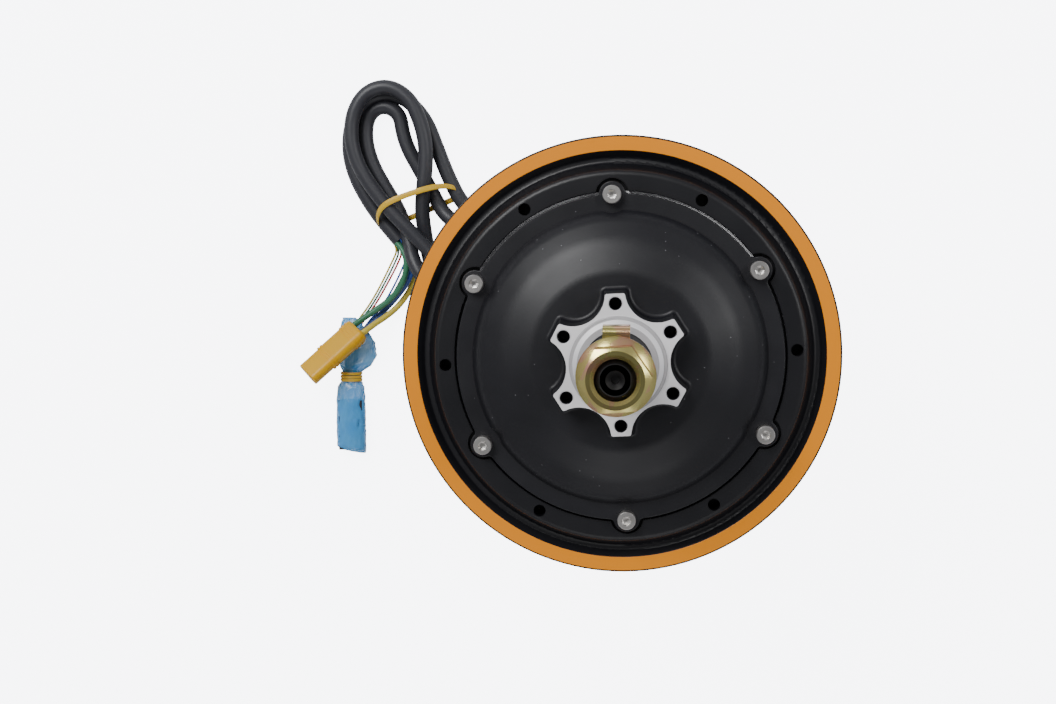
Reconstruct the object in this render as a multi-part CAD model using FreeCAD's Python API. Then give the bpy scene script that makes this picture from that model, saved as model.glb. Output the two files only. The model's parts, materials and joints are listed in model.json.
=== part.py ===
"""Wheel-rim brushless outrunner (hub motor) standing on its lower axle nut.

The frame has +Z along the axle, towards the brake-disc side, and its origin on
the axle where the lower nut meets the surface it stands on. +Y runs through the
tab of each axle washer. All sizes are in millimetres.

Heights written as "h_..." are measured from the motor's middle plane, so the
same value serves both ends; top() and both_ends() turn them into Z.
"""
import FreeCAD, Part

import math
import os

from FreeCAD import Vector

# ---------------------------------------------------------------- driving sizes
# axle
AXLE_HALF_LENGTH = 110.5      # middle plane to either end of the axle
SHOULDER_H = 72.0             # middle plane to the face a fork dropout rests on
THREAD_R = 6.95               # M14 x 1.5, outside
THREAD_PITCH = 1.5
THREAD_DEPTH = 0.85
FLATS = 10.0                  # across the two milled flats
JOURNAL_R = 8.5               # bearing and seal seats
COLLAR_R = 10.0               # shoulder behind each bearing
CARRIER_SEAT_R = 11.0
CARRIER_SEAT_HALF = 31.0
CHANNEL_R = 4.0               # hollow lower half that carries the leads
KEY_SIZE = 5.0
KEY_LENGTH = 20.0
CENTRE_DRILL_R = 1.6

# axle nut and tabbed washer
NUT_ABOVE_AXLE = 1.5          # the nut stands this much past the axle's end
NUT_FLATS = 21.0
NUT_HEIGHT = 13.0
NUT_FLANGE_R = 13.5
NUT_FLANGE_EDGE = 1.6
NUT_FLANGE_RISE = 1.6         # conical top of the flange
NUT_TURN = 4.4                # degrees that the hexagon is turned
WASHER_R = 13.0
WASHER_THICK = 2.5
TAB_WIDTH = 9.2
TAB_REACH = 16.6              # axle centre to the tab's outer face
TAB_DROP = 7.5                # how far the bent tab reaches towards the wheel

# rim
RIM_HALF_WIDTH = 30.0         # middle plane to the painted lip face
LIP_R = 83.3
LIP_INNER_R = 77.5
LIP_THICK = 4.7
BEAD_SEAT_R = 76.0
BEAD_SEAT_WIDTH = 7.0
BEAD_TAPER = 0.7
WELL_R = 66.5
WELL_HALF = 12.0
VALLEY_R = 74.0               # groove between the lip and the raised face
VALLEY_WIDTH = 2.2
VALLEY_BELOW_LIP = 2.8
FACE_H = 35.5                 # raised face around the cover
FACE_OUTER_R = 69.8
FACE_HOLE_CIRCLE_R = 66.0
FACE_HOLE_R = 2.3
FACE_HOLE_DEPTH = 12.0
ROTOR_TURN = 2.9              # degrees the wheel stands turned from the washers' tabs
VALVE_HOLE_R = 4.15
VALVE_CIRCLE_R = 70.5

# rotor magnets and back iron
YOKE_R = 60.0
YOKE_THICK = 4.0
YOKE_HALF = 19.0
MAGNETS = 30
MAGNET_THICK = 2.95
MAGNET_HALF = 16.0
MAGNET_SHARE = 0.88           # share of the pole pitch that a magnet fills
GLUE_GAP = 0.05

# stator
AIR_GAP = 0.7
TEETH = 27
STACK_HALF = 17.5
BACK_IRON_R = 36.0
CORE_BORE_R = 30.0
TOOTH_WIDTH = 5.2
TOOTH_TIP_THICK = 2.0
SLOT_OPENING = 2.6
INSULATOR_THICK = 1.2
INSULATOR_SETBACK = 0.5
COIL_END_HEIGHT = 5.0
COIL_INNER_R = 37.4
COIL_OUTER_R = 48.4
COIL_GAP = 0.45               # between neighbouring coils
BOARD_ANGLE = 310.0           # middle of the sensor board, degrees from +X
SENSOR_STEP = 80.0 / 3        # degrees between neighbouring sensors
HUB_R = 17.0                  # stator carrier
CARRIER_HALF = 15.0
CARRIER_WEB_HALF = 4.0
CARRIER_WINDOW_R = 3.6
CARRIER_WINDOWS = 6

# covers
COVER_SEAT_H = 32.5
COVER_R = 61.4
COVER_FLANGE = 4.8
COVER_WALL = 4.5
REGISTER_R = 56.8             # pilot that centres a cover in the rim
REGISTER_DEPTH = 5.0
REGISTER_WALL = 3.6
REGISTER_GAP = 0.05
SEAT_GAP = 0.9                # rim recess around the cover's edge
DOME_FOOT_R = 55.3
GASKET_THICK = 0.4
SCREWS = 6
SCREW_CIRCLE_R = 61.0
EAR_R = 5.0
EAR_GAP = 1.2
HEAD_NOTCH_R = 6.8            # clearance cut into the dome beside each screw
SCREW_R = 1.95                # M4 socket-head cap screw
SCREW_HEAD_R = 3.5
SCREW_HEAD_H = 4.0
SCREW_SOCKET = 3.0
SCREW_SOCKET_DEPTH = 2.4
SCREW_LENGTH = 12.0
TAPPED_R = 2.02
CLEARANCE_HOLE_R = 2.2

# brake-disc mount on the upper cover
DISC_FACE_H = 63.0
DISC_CIRCLE_R = 22.0
DISC_HOLE_R = 2.15            # M5 tapping size
DISC_HOLE_DEPTH = 11.0
LOBES = 6
LOBE_TIP_R = 25.6
LOBE_TIP_WIDTH = 7.1
LOBE_VALLEY_R = 18.6
LOBE_DRAFT = 1.1              # growth of the cast boss from face to foot
LOBE_ROUND = 0.8
FOOT_FILLET = 1.6
SPIGOT_R = 17.5
SPIGOT_STEP = 1.1
SPIGOT_CHAMFER_R = 16.3
SPIGOT_FACE_R = 14.6
SPIGOT_HEIGHT = 3.0
LOWER_BOSS_H = 57.0           # plain boss on the cable-side cover
LOWER_BOSS_R = 24.0

# bearings, 17 x 40 x 12
BEARING_R = 20.0
BEARING_WIDTH = 12.0
BEARING_H = 39.0              # middle plane to the inboard face
BEARING_PITCH_R = 14.25
BALL_R = 3.37
BALLS = 8
RACE_CLEARANCE = 0.08
INNER_RING_R = 12.0
OUTER_RING_BORE_R = 16.5
SHIELD_R = 17.3
SHIELD_THICK = 0.8
SHIELD_INSET = 0.5
SHIELD_GAP = 0.25
HOUSING_WALL = 5.0
SEAL_R = 12.5
SEAL_WIDTH = 4.0
SEAL_INSET = 0.6
SEAL_GAP = 0.06
THROAT_R = 11.6               # bore between bearing and seal
CIRCLIP_THICK = 1.0
CIRCLIP_R = 10.3
CIRCLIP_GROOVE_R = 8.0

# cable: where it leaves the axle
CABLE_R = 3.5
CABLE_EXIT_H = 64.5           # below the middle plane
CABLE_EXIT_ANGLE = 188.0      # degrees from +X
SLOT_WIDTH = 7.6
SLOT_LENGTH = 10.6
GROMMET_TIP_R = 32.0          # axle centre to the strain relief's end
GROMMET_ROOT_SIZE = 5.4
GROMMET_TIP_SIZE = 4.2
LEAD_HOLE_H = 35.0
LEAD_HOLE_R = 3.0

# cable, wires and plugs lying beside the wheel
PHASE_WIRE_R = 1.45
SIGNAL_WIRE_R = 0.5
HANK_HEIGHT = 17.0
PLUG_PITCH = 18.0             # degrees that the plug's nose points up
PLUG_HEADING = 223.0          # degrees from +X
PLUG_REAR = (-126.6, -1.8, 8.3)
PLUG_PIN_LEFT = 3.7           # plug axis to the single pin
PLUG_PIN_RIGHT = 2.3          # plug axis to the pair of pins
PLUG_PIN_RISE = 3.4           # half the pair's spacing
PLUG_CAP_LENGTH = 6.5
PLUG_BODY_LENGTH = 20.5       # rear of the plug to the end of its thick body
PLUG_LENGTH = 32.0
PLUG_BODY_MARGIN = 3.2        # pin axis to the body's outside
PLUG_NOSE_MARGIN = 2.75
PLUG_RIB = 0.35
SOCKET_R = 2.1
SOCKET_BORE_R = 1.75
SOCKET_INSET = 2.0
SLEEVE_SIZE = (14.4, 40.0, 8.4)
SLEEVE_WALL = 0.9
SLEEVE_CORNER = (-138.8, -61.5)
SIGNAL_PLUG_SIZE = (11.6, 24.0, 5.6)
SIGNAL_PLUG_INSET = 3.0
FLOOR_GAP = 0.1               # thin things lying on the surface

# ---------------------------------------------------------------- worked out
NUT_TOP_H = AXLE_HALF_LENGTH + NUT_ABOVE_AXLE
MIDDLE_Z = NUT_TOP_H
FLANGE_TOP_H = COVER_SEAT_H + GASKET_THICK + COVER_FLANGE
NUT_BASE_H = NUT_TOP_H - NUT_HEIGHT
WASHER_BASE_H = NUT_BASE_H - WASHER_THICK
YOKE_BORE_R = YOKE_R - YOKE_THICK
MAGNET_OUTER_R = YOKE_BORE_R - GLUE_GAP
MAGNET_INNER_R = MAGNET_OUTER_R - MAGNET_THICK
CORE_R = MAGNET_INNER_R - AIR_GAP
BEARING_OUT_H = BEARING_H + BEARING_WIDTH
SPIGOT_TOP_H = DISC_FACE_H + SPIGOT_HEIGHT
PLATEAU_H = FLANGE_TOP_H + 13.6   # height of the dome beside its boss

Z_AXIS = Vector(0, 0, 1)
CENTRE = Vector(0, 0, MIDDLE_Z)
made = {}


# ---------------------------------------------------------------- helpers
def keep(name, *shapes):
    """Stores one node: a single solid, or a group of separate like solids."""
    solids = [s for shape in shapes for s in shape.Solids]
    for solid in solids:
        if not solid.isValid() or solid.Volume <= 0:
            raise RuntimeError(name + " holds a bad solid")
    made[name] = solids[0] if len(solids) == 1 else Part.makeCompound(solids)


def polar(radius, degrees, z=0.0):
    a = math.radians(degrees)
    return Vector(radius * math.cos(a), radius * math.sin(a), z)


def turned(shape, degrees):
    copy = shape.copy()
    copy.rotate(Vector(0, 0, 0), Z_AXIS, degrees)
    return copy


def around(shape, count, start=0.0):
    return [turned(shape, start + 360.0 * i / count) for i in range(count)]


def lowered(shape):
    """The same shape at the cable end, mirrored in the middle plane."""
    return shape.mirror(CENTRE, Z_AXIS)


def rounded(points):
    """A closed wire through (x, y, radius) corners in the XZ plane, with arcs."""
    flat = [Vector(p[0], 0, MIDDLE_Z + p[1]) for p in points]
    size = [p[2] if len(p) > 2 else 0.0 for p in points]
    n = len(flat)
    edges, ends = [], []
    for i in range(n):
        here = flat[i]
        back = (flat[i - 1] - here).normalize()
        ahead = (flat[(i + 1) % n] - here).normalize()
        half = back.getAngle(ahead) / 2
        if size[i] <= 0 or abs(half - math.pi / 2) < 1e-4:
            ends.append((here, here, None))
            continue
        reach = size[i] / math.tan(half)
        middle = (back + ahead).normalize()
        centre = here + middle * (size[i] / math.sin(half))
        ends.append((here + back * reach, here + ahead * reach,
                     centre - middle * size[i]))
    for i in range(n):
        start, stop, bulge = ends[i]
        if bulge is not None:
            edges.append(Part.Arc(start, bulge, stop).toShape())
        following = ends[(i + 1) % n][0]
        side = flat[(i + 1) % n] - flat[i]
        if (following - stop).dot(side) < -1e-6:
            raise RuntimeError("rounds too large at %s" % (points[i],))
        if (following - stop).Length > 1e-6:
            edges.append(Part.makeLine(stop, following))
    return Part.Wire(Part.__sortEdges__(edges))


def spun(points):
    """A solid of revolution about the axle from a rounded (radius, height) outline."""
    face = Part.Face(rounded(points))
    solid = face.revolve(Vector(0, 0, 0), Z_AXIS, 360)
    return Part.Solid(solid.Shells[0]) if solid.ShapeType != "Solid" else solid


def disc(radius, low, high):
    """A cylinder about the axle between two heights."""
    return Part.makeCylinder(radius, high - low, Vector(0, 0, MIDDLE_Z + low))


def ring(outer, inner, low, high):
    return disc(outer, low, high).cut(disc(inner, low - 1, high + 1))


def post(radius, circle_r, degrees, low, high):
    """A cylinder parallel to the axle, on a circle round it."""
    at = polar(circle_r, degrees, MIDDLE_Z + low)
    return Part.makeCylinder(radius, high - low, at)


def block(width, depth, low, high, y0=0.0):
    """A box centred on X, from y0 along +Y, between two heights."""
    return Part.makeBox(width, depth, high - low,
                        Vector(-width / 2, y0, MIDDLE_Z + low))


def hexagon(flats, low, high, degrees=0.0):
    corner = flats / math.sqrt(3)
    points = [polar(corner, degrees + 60 * i, MIDDLE_Z + low) for i in range(7)]
    face = Part.Face(Part.makePolygon(points))
    return face.extrude(Vector(0, 0, high - low))


def double_d(radius, flats, low, high):
    """A round bar with two flats facing +X and -X."""
    bar = disc(radius, low, high)
    return bar.common(block(flats, 4 * radius, low - 1, high + 1, -2 * radius))


# ---------------------------------------------------------------- axle group
def thread_profile(low, high):
    """Ring grooves that stand for the thread, from the inner end to the tip."""
    points = []
    turns = int((high - low) / THREAD_PITCH)
    for i in range(turns):
        h = low + i * THREAD_PITCH
        points.append((THREAD_R - THREAD_DEPTH, h + 0.1 * THREAD_PITCH))
        points.append((THREAD_R, h + 0.5 * THREAD_PITCH - 0.1))
        points.append((THREAD_R, h + 0.5 * THREAD_PITCH + 0.1))
        points.append((THREAD_R - THREAD_DEPTH, h + 0.9 * THREAD_PITCH))
    return points


def axle_end():
    """The threaded end with its flats, from the shoulder outwards."""
    start = SHOULDER_H + 2.0
    chamfer = 1.2
    root = THREAD_R - THREAD_DEPTH
    points = [(0, SHOULDER_H - 1), (root, SHOULDER_H - 1)]
    points += thread_profile(start, AXLE_HALF_LENGTH - chamfer)
    points += [(root, AXLE_HALF_LENGTH - chamfer),
               (root - chamfer / 2, AXLE_HALF_LENGTH), (0, AXLE_HALF_LENGTH)]
    bar = spun(points)
    flats = block(FLATS, 40, SHOULDER_H, AXLE_HALF_LENGTH + 1, -20)
    neck = block(40, 40, SHOULDER_H - 2, SHOULDER_H, -20)
    bar = bar.common(flats.fuse(neck))
    tip = AXLE_HALF_LENGTH
    drill = spun([(0, tip - 5), (CENTRE_DRILL_R, tip - 4), (CENTRE_DRILL_R, tip - 1.6),
                  (CENTRE_DRILL_R + 1.6, tip), (CENTRE_DRILL_R + 1.6, tip + 1),
                  (0, tip + 1)])
    return bar.cut(drill)


def axle():
    half = [(JOURNAL_R, SHOULDER_H, 0.4), (JOURNAL_R, BEARING_OUT_H + CIRCLIP_THICK + 0.1),
            (CIRCLIP_GROOVE_R, BEARING_OUT_H + CIRCLIP_THICK + 0.1),
            (CIRCLIP_GROOVE_R, BEARING_OUT_H), (JOURNAL_R, BEARING_OUT_H),
            (JOURNAL_R, BEARING_H), (COLLAR_R, BEARING_H, 0.4),
            (COLLAR_R, CARRIER_SEAT_HALF), (CARRIER_SEAT_R, CARRIER_SEAT_HALF, 0.4)]
    lower = [(p[0], -p[1]) + p[2:] for p in reversed(half)]
    body = spun([(0, SHOULDER_H)] + half + lower + [(0, -SHOULDER_H)])
    tip = axle_end()
    body = body.fuse([tip, lowered(tip)])
    channel = disc(CHANNEL_R, -CABLE_EXIT_H - 2, -LEAD_HOLE_H + LEAD_HOLE_R + 1)
    key_seat = block(KEY_SIZE, KEY_SIZE, -KEY_LENGTH / 2, KEY_LENGTH / 2,
                     CARRIER_SEAT_R - KEY_SIZE / 2)
    lead_hole = radial_bar(LEAD_HOLE_R, 0, COLLAR_R + 3, -LEAD_HOLE_H)
    return body.cut([channel, key_seat, lead_hole, exit_slot(0.0)])


def radial_bar(radius, start, stop, height, degrees=CABLE_EXIT_ANGLE):
    return Part.makeCylinder(radius, stop - start,
                             polar(start, degrees, MIDDLE_Z + height),
                             polar(1, degrees))


def exit_slot(shrink, start=0.0, stop=JOURNAL_R + 2):
    """The round-ended slot in the axle's side that the cable leaves by."""
    r = SLOT_WIDTH / 2 - shrink
    rise = SLOT_LENGTH / 2 - SLOT_WIDTH / 2
    ends = [radial_bar(r, start, stop, -CABLE_EXIT_H + s * rise) for s in (-1, 1)]
    slab = Part.makeBox(stop - start, 2 * r, 2 * rise,
                        Vector(start, -r, MIDDLE_Z - CABLE_EXIT_H - rise))
    return turned(slab, CABLE_EXIT_ANGLE).fuse(ends)


def carrier():
    body = spun([(CARRIER_SEAT_R, -CARRIER_HALF), (HUB_R, -CARRIER_HALF, 0.6),
                 (HUB_R, -CARRIER_WEB_HALF, 2), (CORE_BORE_R - 3.5, -CARRIER_WEB_HALF, 2),
                 (CORE_BORE_R - 3.5, -CARRIER_HALF), (CORE_BORE_R, -CARRIER_HALF),
                 (CORE_BORE_R, CARRIER_HALF), (CORE_BORE_R - 3.5, CARRIER_HALF),
                 (CORE_BORE_R - 3.5, CARRIER_WEB_HALF, 2), (HUB_R, CARRIER_WEB_HALF, 2),
                 (HUB_R, CARRIER_HALF, 0.6), (CARRIER_SEAT_R, CARRIER_HALF)])
    middle = (HUB_R + CORE_BORE_R - 3.5) / 2
    pitch = 360 / CARRIER_WINDOWS
    windows = [post(CARRIER_WINDOW_R, middle, pitch * (i + 0.5), -6, 6)
               for i in range(CARRIER_WINDOWS)]
    keyway = block(KEY_SIZE, KEY_SIZE / 2 + 1.1, -CARRIER_HALF - 1, CARRIER_HALF + 1,
                   CARRIER_SEAT_R - 1)
    return body.cut(windows + [keyway])


def core_slab(tip_shrink, bore, low, high):
    """The star-shaped lamination outline, made solid between two heights."""
    tip_r = CORE_R - tip_shrink
    neck_r = tip_r - TOOTH_TIP_THICK
    half_tip = math.asin((2 * math.pi * CORE_R / TEETH - SLOT_OPENING) / 2 / tip_r)
    half_neck = math.asin(TOOTH_WIDTH / 2 / neck_r)
    half_root = math.asin(TOOTH_WIDTH / 2 / BACK_IRON_R)
    pitch = 2 * math.pi / TEETH
    z = MIDDLE_Z + low

    def at(r, a):
        return Vector(r * math.cos(a), r * math.sin(a), z)

    edges = []
    for i in range(TEETH):
        a = i * pitch + math.pi / 2
        chain = [at(BACK_IRON_R, a - half_root), at(neck_r - 1.2, a - half_neck),
                 at(neck_r + 0.6, a - half_tip), at(tip_r, a - half_tip)]
        rest = [at(tip_r, a + half_tip), at(neck_r + 0.6, a + half_tip),
                at(neck_r - 1.2, a + half_neck), at(BACK_IRON_R, a + half_root)]
        edges += [Part.makeLine(p, q) for p, q in zip(chain, chain[1:])]
        edges.append(Part.Arc(chain[-1], at(tip_r, a), rest[0]).toShape())
        edges += [Part.makeLine(p, q) for p, q in zip(rest, rest[1:])]
        following = at(BACK_IRON_R, a + pitch - half_root)
        valley = at(BACK_IRON_R, a + pitch / 2)
        edges.append(Part.Arc(rest[-1], valley, following).toShape())
    star = Part.Face(Part.Wire(edges)).extrude(Vector(0, 0, high - low))
    return star.cut(disc(bore, low - 1, high + 1))


def coil(index):
    """One tooth's winding: a tapered block around the tooth and its insulators."""
    pitch = 2 * math.pi / TEETH
    end = STACK_HALF + INSULATOR_THICK + COIL_END_HEIGHT
    inner_w = 2 * math.sin(pitch / 2) * COIL_INNER_R - COIL_GAP
    outer_w = 2 * math.sin(pitch / 2) * COIL_OUTER_R - COIL_GAP
    z = MIDDLE_Z - end
    corners = [(-inner_w / 2, COIL_INNER_R), (inner_w / 2, COIL_INNER_R),
               (outer_w / 2, COIL_OUTER_R), (-outer_w / 2, COIL_OUTER_R)]
    loop = Part.makePolygon([Vector(x, y, z) for x, y in corners + corners[:1]])
    body = Part.Face(loop).extrude(Vector(0, 0, 2 * end))
    rounds = [e for e in body.Edges if abs(e.tangentAt(e.FirstParameter).z) < 0.1
              and abs(e.tangentAt(e.FirstParameter).x) < 0.5]
    body = body.makeFillet(1.6, rounds)
    hole = block(TOOTH_WIDTH + 0.8, 30, -STACK_HALF - INSULATOR_THICK - 0.1,
                 STACK_HALF + INSULATOR_THICK + 0.1, COIL_INNER_R - 5)
    return turned(body.cut(hole), 360.0 * index / TEETH)


def phase_coils(phase):
    return [coil(i) for i in range(TEETH) if (i // 3) % 3 == phase]


def insulator():
    low, high = STACK_HALF, STACK_HALF + INSULATOR_THICK
    return core_slab(INSULATOR_SETBACK, CORE_BORE_R + INSULATOR_SETBACK, low, high)


def lead(phase):
    """One phase lead: from the hole in the axle up to its own coil's end turn."""
    r = 1.0
    away = CABLE_EXIT_ANGLE + (phase - 1) * 22
    side = (phase - 1) * 2.1
    a = math.radians(CABLE_EXIT_ANGLE)
    across = Vector(-math.sin(a), math.cos(a), 0) * side
    start = polar(COLLAR_R + 3.2, CABLE_EXIT_ANGLE, MIDDLE_Z - LEAD_HOLE_H) + across
    bend = polar(COLLAR_R + 12, CABLE_EXIT_ANGLE, MIDDLE_Z - LEAD_HOLE_H) + across * 2.2
    end = polar(COIL_INNER_R + 3, away,
                MIDDLE_Z - STACK_HALF - INSULATOR_THICK - COIL_END_HEIGHT - r - 0.3)
    return tube([start, bend, end], r)


def lead_bundle():
    """The cores that run inside the hollow axle, between grommet and windings."""
    up = disc(CHANNEL_R - 0.7, -CABLE_EXIT_H + 1, -LEAD_HOLE_H + 2)
    out = radial_bar(LEAD_HOLE_R - 0.3, 0, COLLAR_R + 3.2, -LEAD_HOLE_H)
    return up.fuse(out)


def hall_board():
    """Curved circuit board under the windings, with its three sensors."""
    low = STACK_HALF + INSULATOR_THICK + COIL_END_HEIGHT + 0.4
    plate = ring(CORE_BORE_R + 9.5, CORE_BORE_R + 1.0, -low - 1.6, -low)
    wedge = sector(60, -50, 50, -low - 2, -low + 1)
    board = plate.common(turned(wedge, BOARD_ANGLE))
    legs = [turned(block(3.0, 2.0, -low - 1.6 - 1.2, -low - 1.6, CORE_BORE_R + 5),
                   BOARD_ANGLE - 90 + d) for d in (-SENSOR_STEP, 0, SENSOR_STEP)]
    feet = [turned(block(4.0, 2.4, -low, -STACK_HALF - INSULATOR_THICK,
                         CORE_BORE_R + 1.4), BOARD_ANGLE - 90 + d) for d in (-40, 40)]
    return board, legs, feet


def sector(radius, low_deg, high_deg, low, high):
    """A pie slice about +X between two angles, under 180 degrees."""
    points = [Vector(0, 0, MIDDLE_Z + low)]
    steps = 8
    for i in range(steps + 1):
        points.append(polar(radius, low_deg + (high_deg - low_deg) * i / steps,
                            MIDDLE_Z + low))
    points.append(points[0])
    return Part.Face(Part.makePolygon(points)).extrude(Vector(0, 0, high - low))


def nut():
    low, high = NUT_BASE_H, NUT_TOP_H
    corner = NUT_FLATS / math.sqrt(3)
    chamfer = corner - NUT_FLATS / 2 * 0.96
    body = hexagon(NUT_FLATS, low + 0.5, high, NUT_TURN)
    cone = spun([(0, low), (corner + 1, low), (corner + 1, high - chamfer * 0.6 - 0.6),
                 (NUT_FLATS / 2 * 0.93, high), (0, high)])
    flange = spun([(0, low), (NUT_FLANGE_R, low, 0.3),
                   (NUT_FLANGE_R, low + NUT_FLANGE_EDGE, 0.5),
                   (NUT_FLATS / 2 - 0.4, low + NUT_FLANGE_EDGE + NUT_FLANGE_RISE),
                   (0, low + NUT_FLANGE_EDGE + NUT_FLANGE_RISE)])
    bore = THREAD_R + 0.05
    hole = spun([(0, low - 1), (bore + 1.0, low - 1), (bore + 0.9, low), (bore, low + 0.9),
                 (bore, high - 1.3), (bore + 1.3, high), (bore + 1.4, high + 1),
                 (0, high + 1)])
    return body.common(cone).fuse(flange).cut(hole).removeSplitter()


def tab_washer():
    low, high = WASHER_BASE_H, NUT_BASE_H
    plate = disc(WASHER_R, low, high)
    tongue = block(TAB_WIDTH, TAB_REACH, low, high)
    drop = block(TAB_WIDTH, WASHER_THICK, low - TAB_DROP, high, TAB_REACH - WASHER_THICK)
    tab = tongue.fuse(drop).removeSplitter()
    bend = [e for e in tab.Edges if abs(e.CenterOfMass.y - TAB_REACH) < 0.01
            and abs(e.CenterOfMass.z - MIDDLE_Z - high) < 0.01]
    inner = [e for e in tab.Edges if abs(e.CenterOfMass.y - TAB_REACH + WASHER_THICK) < 0.01
             and abs(e.CenterOfMass.z - MIDDLE_Z - low) < 0.01]
    tab = tab.makeFillet(WASHER_THICK * 0.96, bend)
    inner = [e for e in tab.Edges if abs(e.CenterOfMass.y - TAB_REACH + WASHER_THICK) < 0.01
             and abs(e.CenterOfMass.z - MIDDLE_Z - low) < 0.01]
    tab = tab.makeFillet(1.0, inner)
    hole = double_d(THREAD_R + 0.15, FLATS + 0.3, low - 1, high + 1)
    return plate.fuse(tab).cut(hole).removeSplitter()


def grommet():
    """Moulded rubber plug in the axle's slot, drawn out into a strain relief."""
    plug = exit_slot(0.1, CHANNEL_R + 0.2, JOURNAL_R + 1.0)
    root = JOURNAL_R + 0.4
    z = -CABLE_EXIT_H
    collar = radial_bar(GROMMET_ROOT_SIZE, root, root + 3.0, z)
    horn = Part.makeCone(GROMMET_ROOT_SIZE - 0.3, GROMMET_TIP_SIZE,
                         GROMMET_TIP_R - root - 3.0,
                         polar(root + 3.0, CABLE_EXIT_ANGLE, MIDDLE_Z + z),
                         polar(1, CABLE_EXIT_ANGLE))
    grooves = []
    for i in range(5):
        at = root + 5.0 + 3.2 * i
        grooves.append(radial_bar(9, at, at + 1.1, z).cut(
            radial_bar(GROMMET_TIP_SIZE - 0.35, at - 1, at + 2.2, z)))
    relief = collar.fuse(horn).cut(grooves)
    seat = Part.makeCylinder(JOURNAL_R + 0.05, 40, Vector(0, 0, MIDDLE_Z + z - 20))
    return plug.fuse(relief.cut(seat))


# ---------------------------------------------------------------- bearings
def bearing_parts():
    """One bearing at the upper end: rings, balls, cage and shields."""
    low, high = BEARING_H, BEARING_OUT_H
    mid = (low + high) / 2
    groove_r = BALL_R + RACE_CLEARANCE
    torus = Part.makeTorus(BEARING_PITCH_R, groove_r, Vector(0, 0, MIDDLE_Z + mid))
    inner = spun([(JOURNAL_R + 0.01, low, 0.5), (INNER_RING_R, low, 0.3),
                  (INNER_RING_R, high, 0.3), (JOURNAL_R + 0.01, high, 0.5)]).cut(torus)
    inset = SHIELD_INSET + SHIELD_THICK + 0.05
    outer = spun([(SHIELD_R, low), (BEARING_R - 0.01, low, 0.5),
                  (BEARING_R - 0.01, high, 0.5), (SHIELD_R, high),
                  (SHIELD_R, high - inset), (OUTER_RING_BORE_R, high - inset),
                  (OUTER_RING_BORE_R, low + inset), (SHIELD_R, low + inset)]).cut(torus)
    balls = [Part.makeSphere(BALL_R, polar(BEARING_PITCH_R, 360.0 * i / BALLS,
                                           MIDDLE_Z + mid)) for i in range(BALLS)]
    cage = ring(BEARING_PITCH_R + 1.2, BEARING_PITCH_R - 1.2, mid - 2.4, mid + 2.4)
    pockets = [Part.makeSphere(BALL_R + 0.1, polar(BEARING_PITCH_R, 360.0 * i / BALLS,
                                                   MIDDLE_Z + mid)) for i in range(BALLS)]
    cage = cage.cut(pockets)
    shield = ring(SHIELD_R - 0.02, INNER_RING_R + SHIELD_GAP,
                  high - SHIELD_INSET - SHIELD_THICK, high - SHIELD_INSET)
    other = shield.mirror(Vector(0, 0, MIDDLE_Z + mid), Z_AXIS)
    return inner, outer, balls, cage, [shield, other]


def axle_seal(out_h):
    """Lip seal whose outer face lies just inside a boss that ends at out_h."""
    high = out_h - SEAL_INSET
    low = high - SEAL_WIDTH
    lip = JOURNAL_R + SEAL_GAP
    return spun([(SEAL_R - 0.02, low), (SEAL_R - 0.02, high, 0.3), (lip + 1.9, high, 0.4),
                 (lip + 1.2, high - 1.2, 0.4), (lip, high - 0.9), (lip, high - 1.5),
                 (lip + 1.1, high - 2.2, 0.3), (lip + 0.5, low + 1.2), (lip + 1.5, low)])


def circlip():
    low = BEARING_OUT_H + 0.02
    body = ring(CIRCLIP_R, CIRCLIP_GROOVE_R + 0.05, low, low + CIRCLIP_THICK)
    gap = block(4.5, 14, low - 1, low + 3, 0)
    ears = [post(1.5, CIRCLIP_R - 0.6, 90 + s * 20, low, low + CIRCLIP_THICK)
            for s in (-1, 1)]
    return turned(body.cut(gap), 180)


# ---------------------------------------------------------------- rim and rotor
def rim():
    lip_low = RIM_HALF_WIDTH - LIP_THICK
    seat_low = lip_low - 1.5 - BEAD_SEAT_WIDTH
    valley_h = RIM_HALF_WIDTH - VALLEY_BELOW_LIP
    half = [(WELL_R, WELL_HALF, 3.0),
            (BEAD_SEAT_R - BEAD_TAPER, seat_low, 2.0),
            (BEAD_SEAT_R, lip_low - 1.5, 2.4),
            (LIP_R, lip_low, 1.0), (LIP_R, RIM_HALF_WIDTH, 0.45),
            (LIP_INNER_R, RIM_HALF_WIDTH, 0.6),
            (VALLEY_R + VALLEY_WIDTH / 2, valley_h, 1.2),
            (VALLEY_R - VALLEY_WIDTH / 2, valley_h, 1.5),
            (FACE_OUTER_R, FACE_H, 2.4),
            (COVER_R + SEAT_GAP, FACE_H, 0.3), (COVER_R + SEAT_GAP, COVER_SEAT_H),
            (REGISTER_R, COVER_SEAT_H, 0.4), (REGISTER_R, YOKE_HALF),
            (YOKE_R, YOKE_HALF)]
    lower = [(p[0], -p[1]) + p[2:] for p in reversed(half)]
    body = spun(half + lower)
    cuts = []
    step = 360.0 / SCREWS
    for i in range(SCREWS):
        at = 90 + step * i
        cuts.append(post(EAR_R + EAR_GAP, SCREW_CIRCLE_R, at, COVER_SEAT_H, FACE_H + 5))
        cuts.append(post(TAPPED_R, SCREW_CIRCLE_R, at,
                         COVER_SEAT_H - SCREW_LENGTH + 2.5, COVER_SEAT_H + 1))
    cuts += [lowered(c) for c in cuts]
    face_holes = [post(FACE_HOLE_R, FACE_HOLE_CIRCLE_R, 90 + step * (i + 0.5),
                       FACE_H - FACE_HOLE_DEPTH, FACE_H + 1) for i in range(SCREWS)]
    valve = post(VALVE_HOLE_R, VALVE_CIRCLE_R, 90 + step / 4, -FACE_H - 1, -WELL_HALF + 4)
    return body.cut(cuts + face_holes + [valve])


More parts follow.
